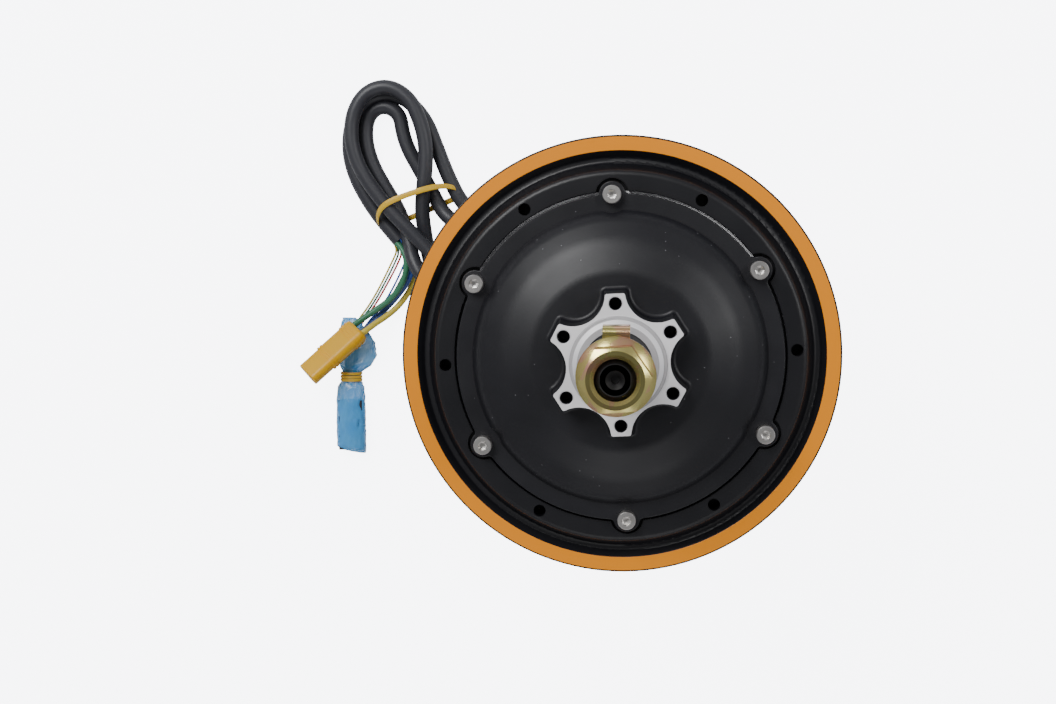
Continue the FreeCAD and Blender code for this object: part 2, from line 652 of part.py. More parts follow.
def magnets(parity):
    sweep = 360.0 / MAGNETS * MAGNET_SHARE
    shell = ring(MAGNET_OUTER_R, MAGNET_INNER_R, -MAGNET_HALF, MAGNET_HALF)
    one = shell.common(sector(LIP_R, -sweep / 2, sweep / 2, -MAGNET_HALF - 1,
                              MAGNET_HALF + 1))
    return [turned(one, 360.0 / MAGNETS * (i + 0.5)) for i in range(parity, MAGNETS, 2)]


def cover_flange():
    """The flat rim of a cover with its six screw ears."""
    low, high = COVER_SEAT_H + GASKET_THICK, FLANGE_TOP_H
    plate = disc(COVER_R, low, high)
    ears = [post(EAR_R, SCREW_CIRCLE_R, 90 + 360.0 / SCREWS * i, low, high)
            for i in range(SCREWS)]
    plate = plate.fuse(ears).removeSplitter()
    corners = [e for e in plate.Edges if abs(e.CenterOfMass.z - MIDDLE_Z - (low + high) / 2)
               < 0.01 and abs(e.tangentAt(e.FirstParameter).z) > 0.99
               and len(e.Vertexes) == 2 and e.Length < COVER_FLANGE + 0.1
               and abs(math.hypot(e.CenterOfMass.x, e.CenterOfMass.y) - COVER_R) < 0.05]
    plate = plate.makeFillet(1.6, corners)
    edge = [e for e in plate.Edges if abs(e.CenterOfMass.z - MIDDLE_Z - high) < 0.01]
    return plate.makeFillet(0.45, edge)


def dome_outline(boss_r, boss_h, bore_r, bore_low):
    """Outer and inner surface of a cover from its foot to its bearing housing."""
    foot = FLANGE_TOP_H
    top = PLATEAU_H
    wall = COVER_WALL
    housing = BEARING_R + HOUSING_WALL
    return [(REGISTER_R - REGISTER_GAP, COVER_SEAT_H - REGISTER_DEPTH, 0.4),
            (REGISTER_R - REGISTER_GAP, COVER_SEAT_H + 1.5),
            (DOME_FOOT_R + 1.6, COVER_SEAT_H + 1.5), (DOME_FOOT_R + 1.6, foot - 0.2),
            (DOME_FOOT_R, foot - 0.2, 1.0),
            (DOME_FOOT_R - 2.5, foot + 4.0, 10.0),
            (DOME_FOOT_R - 11.3, foot + 9.6, 22.0),
            (DOME_FOOT_R - 22.3, foot + 13.0, 12.0),
            (boss_r, top), (boss_r, boss_h), (bore_r, boss_h),
            (bore_r, bore_low), (THROAT_R, bore_low), (THROAT_R, BEARING_OUT_H),
            (BEARING_R, BEARING_OUT_H), (BEARING_R, BEARING_H, 0.5),
            (housing, BEARING_H, 0.8), (housing, top - wall - 0.3, 2.5),
            (DOME_FOOT_R - 23.3, foot + 13.0 - wall, 8.0),
            (DOME_FOOT_R - 12.8, foot + 9.6 - wall, 15.0),
            (REGISTER_R - REGISTER_WALL, COVER_SEAT_H + 4.0, 2.0),
            (REGISTER_R - REGISTER_WALL, COVER_SEAT_H - REGISTER_DEPTH, 0.4)]


def finish_cover(dome):
    """Adds the flange, its screw holes and the notches that clear the heads."""
    holes = []
    for i in range(SCREWS):
        at = 90 + 360.0 / SCREWS * i
        holes.append(post(CLEARANCE_HOLE_R, SCREW_CIRCLE_R, at, COVER_SEAT_H - 9,
                          FLANGE_TOP_H + 3))
        holes.append(post(HEAD_NOTCH_R, SCREW_CIRCLE_R, at, FLANGE_TOP_H,
                          FLANGE_TOP_H + 12))
    inner = disc(REGISTER_R - 1.5, COVER_SEAT_H - 1, FLANGE_TOP_H + 1)
    return dome.fuse(cover_flange().cut(inner)).cut(holes)


def lobed_wire(grow, height):
    """The six-lobed outline of the disc mount, drawn out by grow all round."""
    tip = LOBE_TIP_R + grow
    half = math.radians(180.0 / LOBES)
    corner = Vector(LOBE_TIP_R, LOBE_TIP_WIDTH / 2, 0)
    r, a = math.hypot(corner.x, corner.y), half - math.atan2(corner.y, corner.x)
    dx, dy = r * math.cos(a) - LOBE_VALLEY_R, r * math.sin(a)
    hollow = (dx * dx + dy * dy) / (2 * dx)     # radius of the arc between lobes
    centre_r = LOBE_VALLEY_R + hollow
    hollow -= grow
    z = MIDDLE_Z + height
    # where the grown tip line meets the grown arc, in the lobe's own axes
    cx, cy = centre_r * math.cos(half), centre_r * math.sin(half)
    y = cy - math.sqrt(hollow ** 2 - (tip - cx) ** 2)
    r, a = math.hypot(tip, y), math.degrees(math.atan2(y, tip))
    edges = []
    for i in range(LOBES):
        at = 90 + 360.0 / LOBES * i
        left, right = polar(r, at - a, z), polar(r, at + a, z)
        following = polar(r, at + 360.0 / LOBES - a, z)
        valley = polar(centre_r - hollow, at + 180.0 / LOBES, z)
        edges.append(Part.makeLine(left, right))
        edges.append(Part.Arc(right, valley, following).toShape())
    return Part.Wire(edges)


def disc_side_cover():
    dome = spun(dome_outline(LOBE_VALLEY_R - 1.5, DISC_FACE_H, SEAL_R,
                             SPIGOT_TOP_H - SEAL_INSET - SEAL_WIDTH - 0.3))
    foot_h = PLATEAU_H - 3.0
    boss = Part.makeLoft([lobed_wire(LOBE_DRAFT, foot_h), lobed_wire(0, DISC_FACE_H)],
                         True, True)
    upright = [e for e in boss.Edges if len(e.Vertexes) == 2
               and abs(e.Vertexes[0].Z - e.Vertexes[1].Z) > 5]
    boss = boss.makeFillet(LOBE_ROUND, upright)
    boss = boss.cut([disc(LOBE_VALLEY_R - 2.5, foot_h - 1, DISC_FACE_H + 1),
                     disc(BEARING_R + HOUSING_WALL / 2, foot_h - 1, BEARING_OUT_H)])
    solid = dome.fuse(boss).removeSplitter()
    foot = [e for e in solid.Edges if e.Curve.TypeId == "Part::GeomBSplineCurve"
            and PLATEAU_H - 1.5 < e.CenterOfMass.z - MIDDLE_Z < PLATEAU_H + 0.6
            and all(LOBE_VALLEY_R + 0.5 < math.hypot(v.X, v.Y) < LOBE_TIP_R + 2.5
                    and PLATEAU_H - 1.5 < v.Z - MIDDLE_Z < PLATEAU_H + 0.6
                    for v in e.Vertexes)]
    solid = solid.makeFillet(FOOT_FILLET, foot)
    spigot = spun([(SEAL_R, DISC_FACE_H - 0.5), (SPIGOT_R, DISC_FACE_H - 0.5),
                   (SPIGOT_R, DISC_FACE_H + SPIGOT_STEP, 0.25),
                   (SPIGOT_CHAMFER_R, DISC_FACE_H + SPIGOT_STEP, 0.2),
                   (SPIGOT_CHAMFER_R, SPIGOT_TOP_H - 1.3),
                   (SPIGOT_FACE_R, SPIGOT_TOP_H), (SEAL_R, SPIGOT_TOP_H)])
    holes = []
    for i in range(LOBES):
        at = 90 + 360.0 / LOBES * i
        holes.append(post(DISC_HOLE_R, DISC_CIRCLE_R, at, DISC_FACE_H - DISC_HOLE_DEPTH,
                          DISC_FACE_H + 1))
        lead_in = Part.makeCone(DISC_HOLE_R, DISC_HOLE_R + 0.5, 0.5,
                                polar(DISC_CIRCLE_R, at, MIDDLE_Z + DISC_FACE_H - 0.5))
        holes.append(lead_in)
    return finish_cover(solid.fuse(spigot).cut(holes)).removeSplitter()


def cable_side_cover():
    dome = spun(dome_outline(LOWER_BOSS_R, LOWER_BOSS_H, SEAL_R,
                             LOWER_BOSS_H - SEAL_INSET - SEAL_WIDTH - 0.3))
    edge = [e for e in dome.Edges if abs(math.hypot(e.CenterOfMass.x, e.CenterOfMass.y))
            < 0.01 and abs(e.CenterOfMass.z - MIDDLE_Z - LOWER_BOSS_H) < 0.01
            and e.Curve.Radius > LOWER_BOSS_R - 0.1]
    dome = dome.makeFillet(1.5, edge)
    return lowered(finish_cover(dome).removeSplitter())


def gasket():
    low, high = COVER_SEAT_H, COVER_SEAT_H + GASKET_THICK
    body = ring(COVER_R - 0.3, REGISTER_R + 0.5, low, high)
    ears = [post(EAR_R - 0.3, SCREW_CIRCLE_R, 90 + 360.0 / SCREWS * i, low, high)
            for i in range(SCREWS)]
    holes = [post(CLEARANCE_HOLE_R, SCREW_CIRCLE_R, 90 + 360.0 / SCREWS * i, low - 1,
                  high + 1) for i in range(SCREWS)]
    core = disc(REGISTER_R + 0.5, low - 1, high + 1)
    return body.fuse(ears).cut(holes + [core]).removeSplitter()


def cover_screws():
    low, head = FLANGE_TOP_H - SCREW_LENGTH, FLANGE_TOP_H
    top = head + SCREW_HEAD_H
    body = spun([(0, low), (SCREW_R - 0.5, low), (SCREW_R, low + 0.5), (SCREW_R, head),
                 (SCREW_HEAD_R, head, 0.2), (SCREW_HEAD_R, top, 0.5), (0, top)])
    socket = hexagon(SCREW_SOCKET, top - SCREW_SOCKET_DEPTH, top + 1, 30)
    tip = spun([(0, top - SCREW_SOCKET_DEPTH - 0.8), (SCREW_SOCKET / 2, top - SCREW_SOCKET_DEPTH),
                (0, top - SCREW_SOCKET_DEPTH)])
    mouth = spun([(0, top - 0.3), (SCREW_SOCKET / math.sqrt(3) - 0.25, top - 0.3),
                  (SCREW_SOCKET / math.sqrt(3) + 0.1, top + 0.1), (0, top + 0.1)])
    screw = body.cut([socket, tip, mouth])
    screw.translate(polar(SCREW_CIRCLE_R, 90))
    return around(screw, SCREWS)


# ---------------------------------------------------------------- cords
def tube(points, radius):
    """A round bar along straight runs joined by tangent arcs at each point."""
    edges = []
    last = points[0]
    for i in range(1, len(points) - 1):
        here = points[i]
        into, out = here - points[i - 1], points[i + 1] - here
        turn = into.getAngle(out)
        reach = 0.45 * min(into.Length, out.Length)
        bend_r = reach / math.tan(turn / 2)
        into, out = into.normalize(), out.normalize()
        start, stop = here - into * reach, here + out * reach
        inward = (out - into).normalize()
        centre = here + inward * (bend_r / math.cos(turn / 2))
        middle = centre - inward * bend_r
        edges.append(Part.LineSegment(last, start).toShape())
        edges.append(Part.Arc(start, middle, stop).toShape())
        last = stop
    edges.append(Part.LineSegment(last, points[-1]).toShape())
    path = Part.Wire(edges)
    heading = (points[1] - points[0]).normalize()
    section = Part.Wire(Part.makeCircle(radius, points[0], heading))
    return path.makePipeShell([section], True, False)


def cord(name, points, radius):
    """Keeps one cord and prints its length, bend radii and volume error."""
    route = [Vector(*p) for p in points]
    solid = tube(route, radius)
    radii = []
    for i in range(1, len(route) - 1):
        into, out = route[i] - route[i - 1], route[i + 1] - route[i]
        turn = into.getAngle(out)
        radii.append(0.45 * min(into.Length, out.Length) / math.tan(turn / 2))
    length = solid.Volume / (math.pi * radius ** 2)
    straight = sum((q - p).Length for p, q in zip(route, route[1:]))
    print(name, "length %.1f of %.1f" % (length, straight), "radii",
          [round(r, 1) for r in radii])
    keep(name, solid)


CABLE_ROUTE = [(-31.7, -4.5, 47.5), (-49.0, -7.0, 45.0), (-65.0, -7.5, 32.0),
               (-78.5, -2.5, 15.0), (-87.5, 12.0, 5.2), (-93.4, 32.4, 3.7)]

# outline of the tied hank, as (x, y, corner radius)
HANK_OUTLINE = [(-95, 116, 16), (-134, 116, 20), (-134, 62, 26), (-110.2, 38.4, 0),
                (-104.7, 43.6, 0), (-76, 12.8, 9), (-63, 16, 8), (-66, 28, 4)]

PHASE_ROUTES = {
    "green": [(-109.3, 40.8, 5.1), (-104.7, 36.6, 7.8), (-103.0, 29.6, 8.6),
              (-105.2, 20.8, 8.0), (-110.9, 13.6, 6.6), (-117.6, 8.8, 5.6),
              (-123.6, 4.8, 6.0), (-129.7, 0.4, 8.6)],
    "blue": [(-107.0, 42.9, 5.0), (-101.5, 36.8, 6.2), (-100.3, 28.9, 6.0),
             (-103.8, 20.8, 4.8), (-109.6, 13.6, 2.9), (-115.2, 7.9, 1.7),
             (-120.4, 2.2, 2.4), (-126.4, -4.7, 5.4)],
    "yellow": [(-108.2, 41.8, 2.3), (-102.6, 35.4, 3.1), (-99.8, 27.2, 2.6),
               (-102.2, 18.2, 1.6), (-108.2, 9.7, 2.9), (-114.2, 4.6, 5.6),
               (-119.2, 1.4, 8.3), (-124.9, -3.3, 11.8)],
}

SIGNAL_ROUTES = {
    "yellow": [(-110.3, 39.8, 3.6), (-108.4, 36.8, 3.0), (-111.6, 30.6, 1.7),
               (-117.0, 20.0, 0.7), (-122.8, 10.0, 0.7), (-129.0, 2.0, 0.7),
               (-132.8, -5.4, 0.7), (-134.4, -13.0, 0.9), (-134.2, -22.2, 4.2)],
    "green": [(-110.1, 40.1, 2.6), (-107.6, 36.3, 1.9), (-110.2, 30.4, 0.9),
              (-115.6, 20.0, 0.7), (-121.4, 10.0, 0.7), (-127.6, 2.0, 0.7),
              (-131.4, -5.2, 0.7), (-133.1, -13.0, 0.9), (-132.9, -22.2, 4.2)],
    "red": [(-109.6, 40.5, 1.7), (-106.4, 36.2, 0.8), (-108.8, 30.0, 0.7),
            (-114.2, 20.0, 0.7), (-120.0, 10.0, 0.7), (-126.2, 2.0, 0.7),
            (-130.0, -5.0, 0.7), (-131.8, -13.0, 0.9), (-131.6, -22.2, 4.2)],
    "blue": [(-106.6, 43.3, 2.0), (-103.8, 39.6, 0.7), (-104.6, 34.4, 0.7),
             (-107.6, 29.2, 0.7), (-112.8, 20.0, 0.7), (-118.6, 10.0, 0.7),
             (-124.8, 2.2, 0.7), (-128.6, -4.9, 0.7), (-130.5, -13.0, 0.9),
             (-130.3, -22.2, 4.2)],
    "black": [(-106.1, 43.7, 3.1), (-102.7, 39.8, 0.8), (-103.1, 33.6, 0.7),
              (-106.2, 27.4, 0.7), (-110.9, 19.4, 0.7), (-117.2, 10.0, 0.7),
              (-123.4, 2.2, 0.7), (-127.2, -4.8, 0.7), (-129.2, -13.0, 0.9),
              (-129.0, -22.2, 4.2)],
}


def flat_outline(points):
    """A closed face on z = 0 through (x, y, radius) corners."""
    flat = [Vector(p[0], p[1], 0) for p in points]
    edges, ends = [], []
    for i, here in enumerate(flat):
        size = points[i][2]
        back = (flat[i - 1] - here).normalize()
        ahead = (flat[(i + 1) % len(flat)] - here).normalize()
        half = back.getAngle(ahead) / 2
        middle = (back + ahead).normalize()
        reach = size / math.tan(half)
        centre = here + middle * (size / math.sin(half))
        ends.append((here + back * reach, centre - middle * size, here + ahead * reach))
    for i, (start, bulge, stop) in enumerate(ends):
        if points[i][2] > 0:
            edges.append(Part.Arc(start, bulge, stop).toShape())
        edges.append(Part.makeLine(stop, ends[(i + 1) % len(ends)][0]))
    return Part.Face(Part.Wire(edges))


def hank():
    """The tied loops of the cable, as one closed slab of their outer shape."""
    body = flat_outline(HANK_OUTLINE).extrude(Vector(0, 0, HANK_HEIGHT))
    top = [e for e in body.Edges if abs(e.CenterOfMass.z - HANK_HEIGHT) < 0.01]
    return body.makeFillet(2.5, top)


def pin_places():
    """The three pins of the plug, as (across, up) from its axis."""
    return [(-PLUG_PIN_LEFT, 0), (PLUG_PIN_RIGHT, -PLUG_PIN_RISE),
            (PLUG_PIN_RIGHT, PLUG_PIN_RISE)]


def plug_slice(margin, start, stop):
    """A rounded triangular prism along the plug's axis, margin outside its pins."""
    pins = pin_places()
    edges = []
    for i, (y, z) in enumerate(pins):
        here = Vector(start, y, z)
        after = Vector(start, *pins[(i + 1) % 3])
        before = Vector(start, *pins[i - 1])
        out_a = (after - here).normalize().cross(Vector(1, 0, 0))
        out_b = (here - before).normalize().cross(Vector(1, 0, 0))
        middle = (out_a + out_b).normalize()
        edges.append(Part.Arc(here + out_b * margin, here + middle * margin,
                              here + out_a * margin).toShape())
        edges.append(Part.makeLine(here + out_a * margin, after + out_a * margin))
    return Part.Face(Part.Wire(edges)).extrude(Vector(stop - start, 0, 0))


def placed_plug(shape):
    shape.rotate(Vector(0, 0, 0), Vector(0, 1, 0), -PLUG_PITCH)
    shape.rotate(Vector(0, 0, 0), Z_AXIS, PLUG_HEADING)
    shape.translate(Vector(*PLUG_REAR))
    return shape


def pin_bars(radius, start, stop):
    return [Part.makeCylinder(radius, stop - start, Vector(start, y, z), Vector(1, 0, 0))
            for y, z in pin_places()]


def plug_cap():
    """The ribbed rear shell that the wires enter."""
    body = plug_slice(PLUG_BODY_MARGIN, 0, PLUG_CAP_LENGTH)
    rear = [e for e in body.Edges if abs(e.CenterOfMass.x) < 0.01]
    body = body.makeFillet(1.4, rear)
    ribs = [plug_slice(PLUG_BODY_MARGIN + PLUG_RIB, x, x + 0.8) for x in (2.2, 4.0, 5.7)]
    holes = pin_bars(PHASE_WIRE_R, -1, PLUG_CAP_LENGTH + 1)
    return placed_plug(body.fuse(ribs).cut(holes))


def plug_housing():
    """The moulded body with its narrower nose and three deep sockets."""
    body = plug_slice(PLUG_BODY_MARGIN - 0.1, PLUG_CAP_LENGTH, PLUG_BODY_LENGTH)
    nose = plug_slice(PLUG_NOSE_MARGIN, PLUG_BODY_LENGTH - 1, PLUG_LENGTH)
    front = [e for e in nose.Edges if abs(e.CenterOfMass.x - PLUG_LENGTH) < 0.01]
    nose = nose.makeFillet(0.5, front)
    shoulder = [plug_slice(PLUG_BODY_MARGIN + 0.25, PLUG_BODY_LENGTH - x, PLUG_BODY_LENGTH
                           - x + 0.9) for x in (0.9, 2.6)]
    holes = pin_bars(SOCKET_R, PLUG_CAP_LENGTH - 1, PLUG_LENGTH + 1)
    return placed_plug(body.fuse([nose] + shoulder).cut(holes))


def plug_sockets():
    """Three gilt sockets, set back in the nose."""
    start, stop = PLUG_CAP_LENGTH + 0.1, PLUG_LENGTH - SOCKET_INSET
    bars = pin_bars(SOCKET_R - 0.01, start, stop)
    bores = pin_bars(SOCKET_BORE_R, start + 6, stop + 1)
    return [placed_plug(bar.cut(bore)) for bar, bore in zip(bars, bores)]


def film_sleeve():
    """The film bag round the signal plug: a soft box open at its far end."""
    wide, long, high = SLEEVE_SIZE
    body = Part.makeBox(wide, long, high - FLOOR_GAP, Vector(*SLEEVE_CORNER, FLOOR_GAP))
    sides = [e for e in body.Edges if abs(e.tangentAt(0).y) > 0.9]
    body = body.makeFillet(2.6, sides)
    inner = Part.makeBox(wide - 2 * SLEEVE_WALL, SIGNAL_PLUG_INSET + SIGNAL_PLUG_SIZE[1] + 0.3,
                         high - 2 * SLEEVE_WALL - FLOOR_GAP,
                         Vector(SLEEVE_CORNER[0] + SLEEVE_WALL, SLEEVE_CORNER[1] - 1,
                                FLOOR_GAP + SLEEVE_WALL))
    sides = [e for e in inner.Edges if abs(e.tangentAt(0).y) > 0.9]
    return body.cut(inner.makeFillet(1.7, sides))


def signal_plug():
    """The small plug in the film bag, with six square sockets in its far face."""
    wide, long, high = SIGNAL_PLUG_SIZE
    x = SLEEVE_CORNER[0] + SLEEVE_SIZE[0] / 2
    y = SLEEVE_CORNER[1] + SIGNAL_PLUG_INSET - 1
    z = FLOOR_GAP + SLEEVE_WALL + 0.1
    body = Part.makeBox(wide, long, high, Vector(x - wide / 2, y, z))
    edges = [e for e in body.Edges if abs(e.tangentAt(0).y) > 0.9]
    body = body.makeFillet(0.8, edges)
    pitch = wide / 6
    holes = []
    for i in range(5):
        left = x + (i - 2) * pitch - 0.7
        holes.append(Part.makeBox(1.4, 8, 2.0, Vector(left, y - 1, z + high / 2 - 1.0)))
    latch = Part.makeBox(3.0, 8, 0.5, Vector(x - 1.5, y + 2, z + high - 0.1))
    return body.fuse(latch).cut(holes)


# ---------------------------------------------------------------- the nodes
def make_stator():
    keep("axle", axle())
    keep("stator_carrier", carrier())
    keep("carrier_key", block(KEY_SIZE - 0.02, KEY_SIZE - 0.1, -KEY_LENGTH / 2 + 0.02,
                              KEY_LENGTH / 2 - 0.02, CARRIER_SEAT_R - KEY_SIZE / 2 + 0.02))
    keep("stator_core", core_slab(0, CORE_BORE_R, -STACK_HALF, STACK_HALF))
    end = insulator()
    keep("slot_insulators", end, lowered(end))
    for phase, letter in enumerate("abc"):
        keep("coils_phase_" + letter, *phase_coils(phase))
    keep("axle_lead_bundle", lead_bundle())
    keep("phase_leads", *[lead(i) for i in range(3)])
    board, sensors, feet = hall_board()
    keep("hall_board", board)
    keep("hall_sensors", *sensors)
    keep("hall_board_feet", *feet)
    clip = circlip()
    keep("axle_circlips", clip, lowered(clip))
    one_nut, one_washer = nut(), tab_washer()
    keep("axle_nuts", one_nut, lowered(one_nut))
    keep("tab_washers", one_washer, lowered(one_washer))
    keep("cable_grommet", grommet())


def make_rotor():
    keep("rim", turned(rim(), ROTOR_TURN))
    keep("magnet_yoke", ring(YOKE_R, YOKE_BORE_R, -YOKE_HALF, YOKE_HALF))
    keep("magnets_north", *magnets(0))
    keep("magnets_south", *magnets(1))
    keep("disc_side_cover", turned(disc_side_cover(), ROTOR_TURN))
    keep("cable_side_cover", turned(cable_side_cover(), ROTOR_TURN))
    screws = [turned(screw, ROTOR_TURN) for screw in cover_screws()]
    keep("disc_side_screws", *screws)
    keep("cable_side_screws", *[lowered(screw) for screw in screws])
    flat = turned(gasket(), ROTOR_TURN)
    keep("disc_side_gasket", flat)
    keep("cable_side_gasket", lowered(flat))


def make_bearings():
    inner, outer, balls, cage, shields = bearing_parts()
    seal_ends = {"upper": SPIGOT_TOP_H, "lower": LOWER_BOSS_H}
    for end, place in (("upper", lambda s: s), ("lower", lowered)):
        keep(end + "_bearing_inner_ring", place(inner))
        keep(end + "_bearing_outer_ring", place(outer))
        keep(end + "_bearing_balls", *[place(b) for b in balls])
        keep(end + "_bearing_cage", place(cage))
        keep(end + "_bearing_shields", *[place(s) for s in shields])
        keep(end + "_axle_seal", place(axle_seal(seal_ends[end])))


def make_cords():
    cord("motor_cable", CABLE_ROUTE, CABLE_R)
    keep("cable_hank", hank())
    for colour, route in PHASE_ROUTES.items():
        cord("phase_wire_" + colour, route, PHASE_WIRE_R)
    for colour, route in SIGNAL_ROUTES.items():
        cord("signal_wire_" + colour, route, SIGNAL_WIRE_R)
    keep("plug_cap", plug_cap())
    keep("plug_housing", plug_housing())
    keep("plug_sockets", *plug_sockets())
    keep("film_sleeve", film_sleeve())
    keep("signal_plug", signal_plug())


make_stator()
make_rotor()
make_bearings()
make_cords()

os.makedirs("parts", exist_ok=True)
for name, shape in made.items():
    shape.exportStep("parts/" + name + ".step")
print(len(made), "nodes")
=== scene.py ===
import json
import math
import bpy
import bmesh
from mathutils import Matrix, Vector, noise

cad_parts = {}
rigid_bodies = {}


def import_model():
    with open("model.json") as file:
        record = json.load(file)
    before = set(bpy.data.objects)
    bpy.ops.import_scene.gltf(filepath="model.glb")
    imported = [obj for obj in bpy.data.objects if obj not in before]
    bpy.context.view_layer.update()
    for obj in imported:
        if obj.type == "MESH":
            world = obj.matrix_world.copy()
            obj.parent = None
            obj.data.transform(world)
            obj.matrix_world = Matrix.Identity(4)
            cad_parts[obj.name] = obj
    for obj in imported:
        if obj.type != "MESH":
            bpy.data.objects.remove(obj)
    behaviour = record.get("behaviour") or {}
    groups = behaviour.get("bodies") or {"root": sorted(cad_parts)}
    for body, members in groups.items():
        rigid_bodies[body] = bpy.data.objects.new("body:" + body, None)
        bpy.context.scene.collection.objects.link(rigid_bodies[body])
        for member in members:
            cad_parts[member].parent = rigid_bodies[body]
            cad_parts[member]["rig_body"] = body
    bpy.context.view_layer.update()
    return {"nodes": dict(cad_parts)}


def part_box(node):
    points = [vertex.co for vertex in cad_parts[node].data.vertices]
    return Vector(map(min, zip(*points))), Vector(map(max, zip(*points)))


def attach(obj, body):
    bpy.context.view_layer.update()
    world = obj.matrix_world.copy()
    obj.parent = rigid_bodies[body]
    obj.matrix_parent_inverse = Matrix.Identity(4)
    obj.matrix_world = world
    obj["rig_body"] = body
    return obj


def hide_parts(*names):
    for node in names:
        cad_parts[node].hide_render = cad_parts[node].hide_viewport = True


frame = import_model()

# --- The studio: a white table top under broad, soft light, seen from above. Its white glow
# is for the camera alone and lights nothing. Nothing here is part of the motor.
CAMERA_PLACE = (0.01006, 0.05423, 0.69627)
CAMERA_TILT = (math.radians(-5.43), math.radians(4.64), 0.0)
CAMERA_LENS = 50.0
TABLE_HALF = 40.0
TABLE_GLOW = 7.0
STUDIO_WHITE = (0.94, 0.95, 1.0)
SKY_TINT = (0.97, 0.98, 1.03)
SOFTBOXES = [   # place, size and power of each lamp
    ((-0.55, 0.75, 1.10), 0.7, 16.0),
    ((0.85, 0.35, 1.00), 0.5, 4.5),
    ((0.05, -0.95, 0.95), 0.8, 2.5),
]
SKY_BANDS = [(0.0, 0.22), (0.45, 0.42), (0.80, 0.28), (1.0, 0.09)]   # height, brightness


def finish(name, colour, roughness, metallic=0.0, **sockets):
    """A new material, its node tree and its shader."""
    material = bpy.data.materials.new(name)
    material.use_nodes = True
    tree = material.node_tree
    shader = tree.nodes["Principled BSDF"]
    shader.inputs["Base Color"].default_value = (*colour, 1.0)
    shader.inputs["Roughness"].default_value = roughness
    shader.inputs["Metallic"].default_value = metallic
    for socket, value in sockets.items():
        shader.inputs[socket.replace("_", " ")].default_value = value
    return material, tree, shader


table_finish, table_tree, table_shader = finish(
    "table_white", (0.80, 0.805, 0.83), 0.6, Emission_Color=(*STUDIO_WHITE, 1.0))
seen = table_tree.nodes.new("ShaderNodeLightPath")
glow = table_tree.nodes.new("ShaderNodeMath")
glow.operation = "MULTIPLY"
glow.inputs[1].default_value = TABLE_GLOW
table_tree.links.new(seen.outputs["Is Camera Ray"], glow.inputs[0])
table_tree.links.new(glow.outputs[0], table_shader.inputs["Emission Strength"])
table_mesh = bpy.data.meshes.new("table_top")
table_mesh.from_pydata([(-TABLE_HALF, -TABLE_HALF, 0), (TABLE_HALF, -TABLE_HALF, 0),
                        (TABLE_HALF, TABLE_HALF, 0), (-TABLE_HALF, TABLE_HALF, 0)],
                       [], [(0, 1, 2, 3)])
table_mesh.materials.append(table_finish)
table_top = bpy.data.objects.new("table_top", table_mesh)
bpy.context.scene.collection.objects.link(table_top)

camera_data = bpy.data.cameras.new("camera")
camera_data.lens = CAMERA_LENS
camera = bpy.data.objects.new("camera", camera_data)
camera.location = CAMERA_PLACE
camera.rotation_euler = CAMERA_TILT
bpy.context.scene.collection.objects.link(camera)
bpy.context.scene.camera = camera

for index, (place, size, power) in enumerate(SOFTBOXES):
    lamp_data = bpy.data.lights.new("softbox_%d" % index, "AREA")
    lamp_data.size = size
    lamp_data.energy = power
    lamp = bpy.data.objects.new("softbox_%d" % index, lamp_data)
    lamp.location = place
    lamp.rotation_euler = (-Vector(place)).to_track_quat("-Z", "Y").to_euler()
    bpy.context.scene.collection.objects.link(lamp)

studio = bpy.data.worlds.new("studio")
studio.use_nodes = True
sky = studio.node_tree.nodes["Background"]
direction = studio.node_tree.nodes.new("ShaderNodeTexCoord")
upward = studio.node_tree.nodes.new("ShaderNodeSeparateXYZ")
ceiling = studio.node_tree.nodes.new("ShaderNodeValToRGB")
ceiling.color_ramp.elements.new(SKY_BANDS[1][0])
ceiling.color_ramp.elements.new(SKY_BANDS[2][0])
for band, (level, bright) in zip(ceiling.color_ramp.elements, SKY_BANDS):
    band.position = level
    band.color = (*[bright * part for part in SKY_TINT], 1.0)
studio.node_tree.links.new(direction.outputs["Generated"], upward.inputs[0])
studio.node_tree.links.new(upward.outputs["Z"], ceiling.inputs["Fac"])
looked_at = studio.node_tree.nodes.new("ShaderNodeLightPath")
backdrop = studio.node_tree.nodes.new("ShaderNodeMix")
backdrop.data_type = "RGBA"
backdrop.inputs[7].default_value = (*[TABLE_GLOW * part for part in STUDIO_WHITE], 1.0)
studio.node_tree.links.new(looked_at.outputs["Is Camera Ray"], backdrop.inputs[0])
studio.node_tree.links.new(ceiling.outputs["Color"], backdrop.inputs[6])
studio.node_tree.links.new(backdrop.outputs[2], sky.inputs["Color"])
bpy.context.scene.world = studio

# --- Axle: one turned steel bar, blackened all over, with a rolled thread and two milled flats
# at each end, and a full round upper tip with a centre drilling. The lower half is hollow
# and carries the leads to a side slot.
MM = 0.001
AXLE_BLACK = (0.030, 0.030, 0.033)
AXLE_WORN = (0.085, 0.083, 0.080)
WELD_GAP = 1e-6


def calc(tree, operation, *values):
    """The output of a maths node fed with sockets or numbers."""
    node = tree.nodes.new("ShaderNodeMath")
    node.operation = operation
    for socket, value in zip(node.inputs, values):
        if isinstance(value, bpy.types.NodeSocket):
            tree.links.new(value, socket)
        else:
            socket.default_value = value
    return node.outputs[0]


def mixed(tree, mask, low, high):
    """The colour low where the mask is 0 and high where it is 1."""
    node = tree.nodes.new("ShaderNodeMix")
    node.data_type = "RGBA"
    tree.links.new(mask, node.inputs[0])
    for socket, value in ((node.inputs[6], low), (node.inputs[7], high)):
        if isinstance(value, bpy.types.NodeSocket):
            tree.links.new(value, socket)
        else:
            socket.default_value = (*value, 1.0)
    return node.outputs[2]


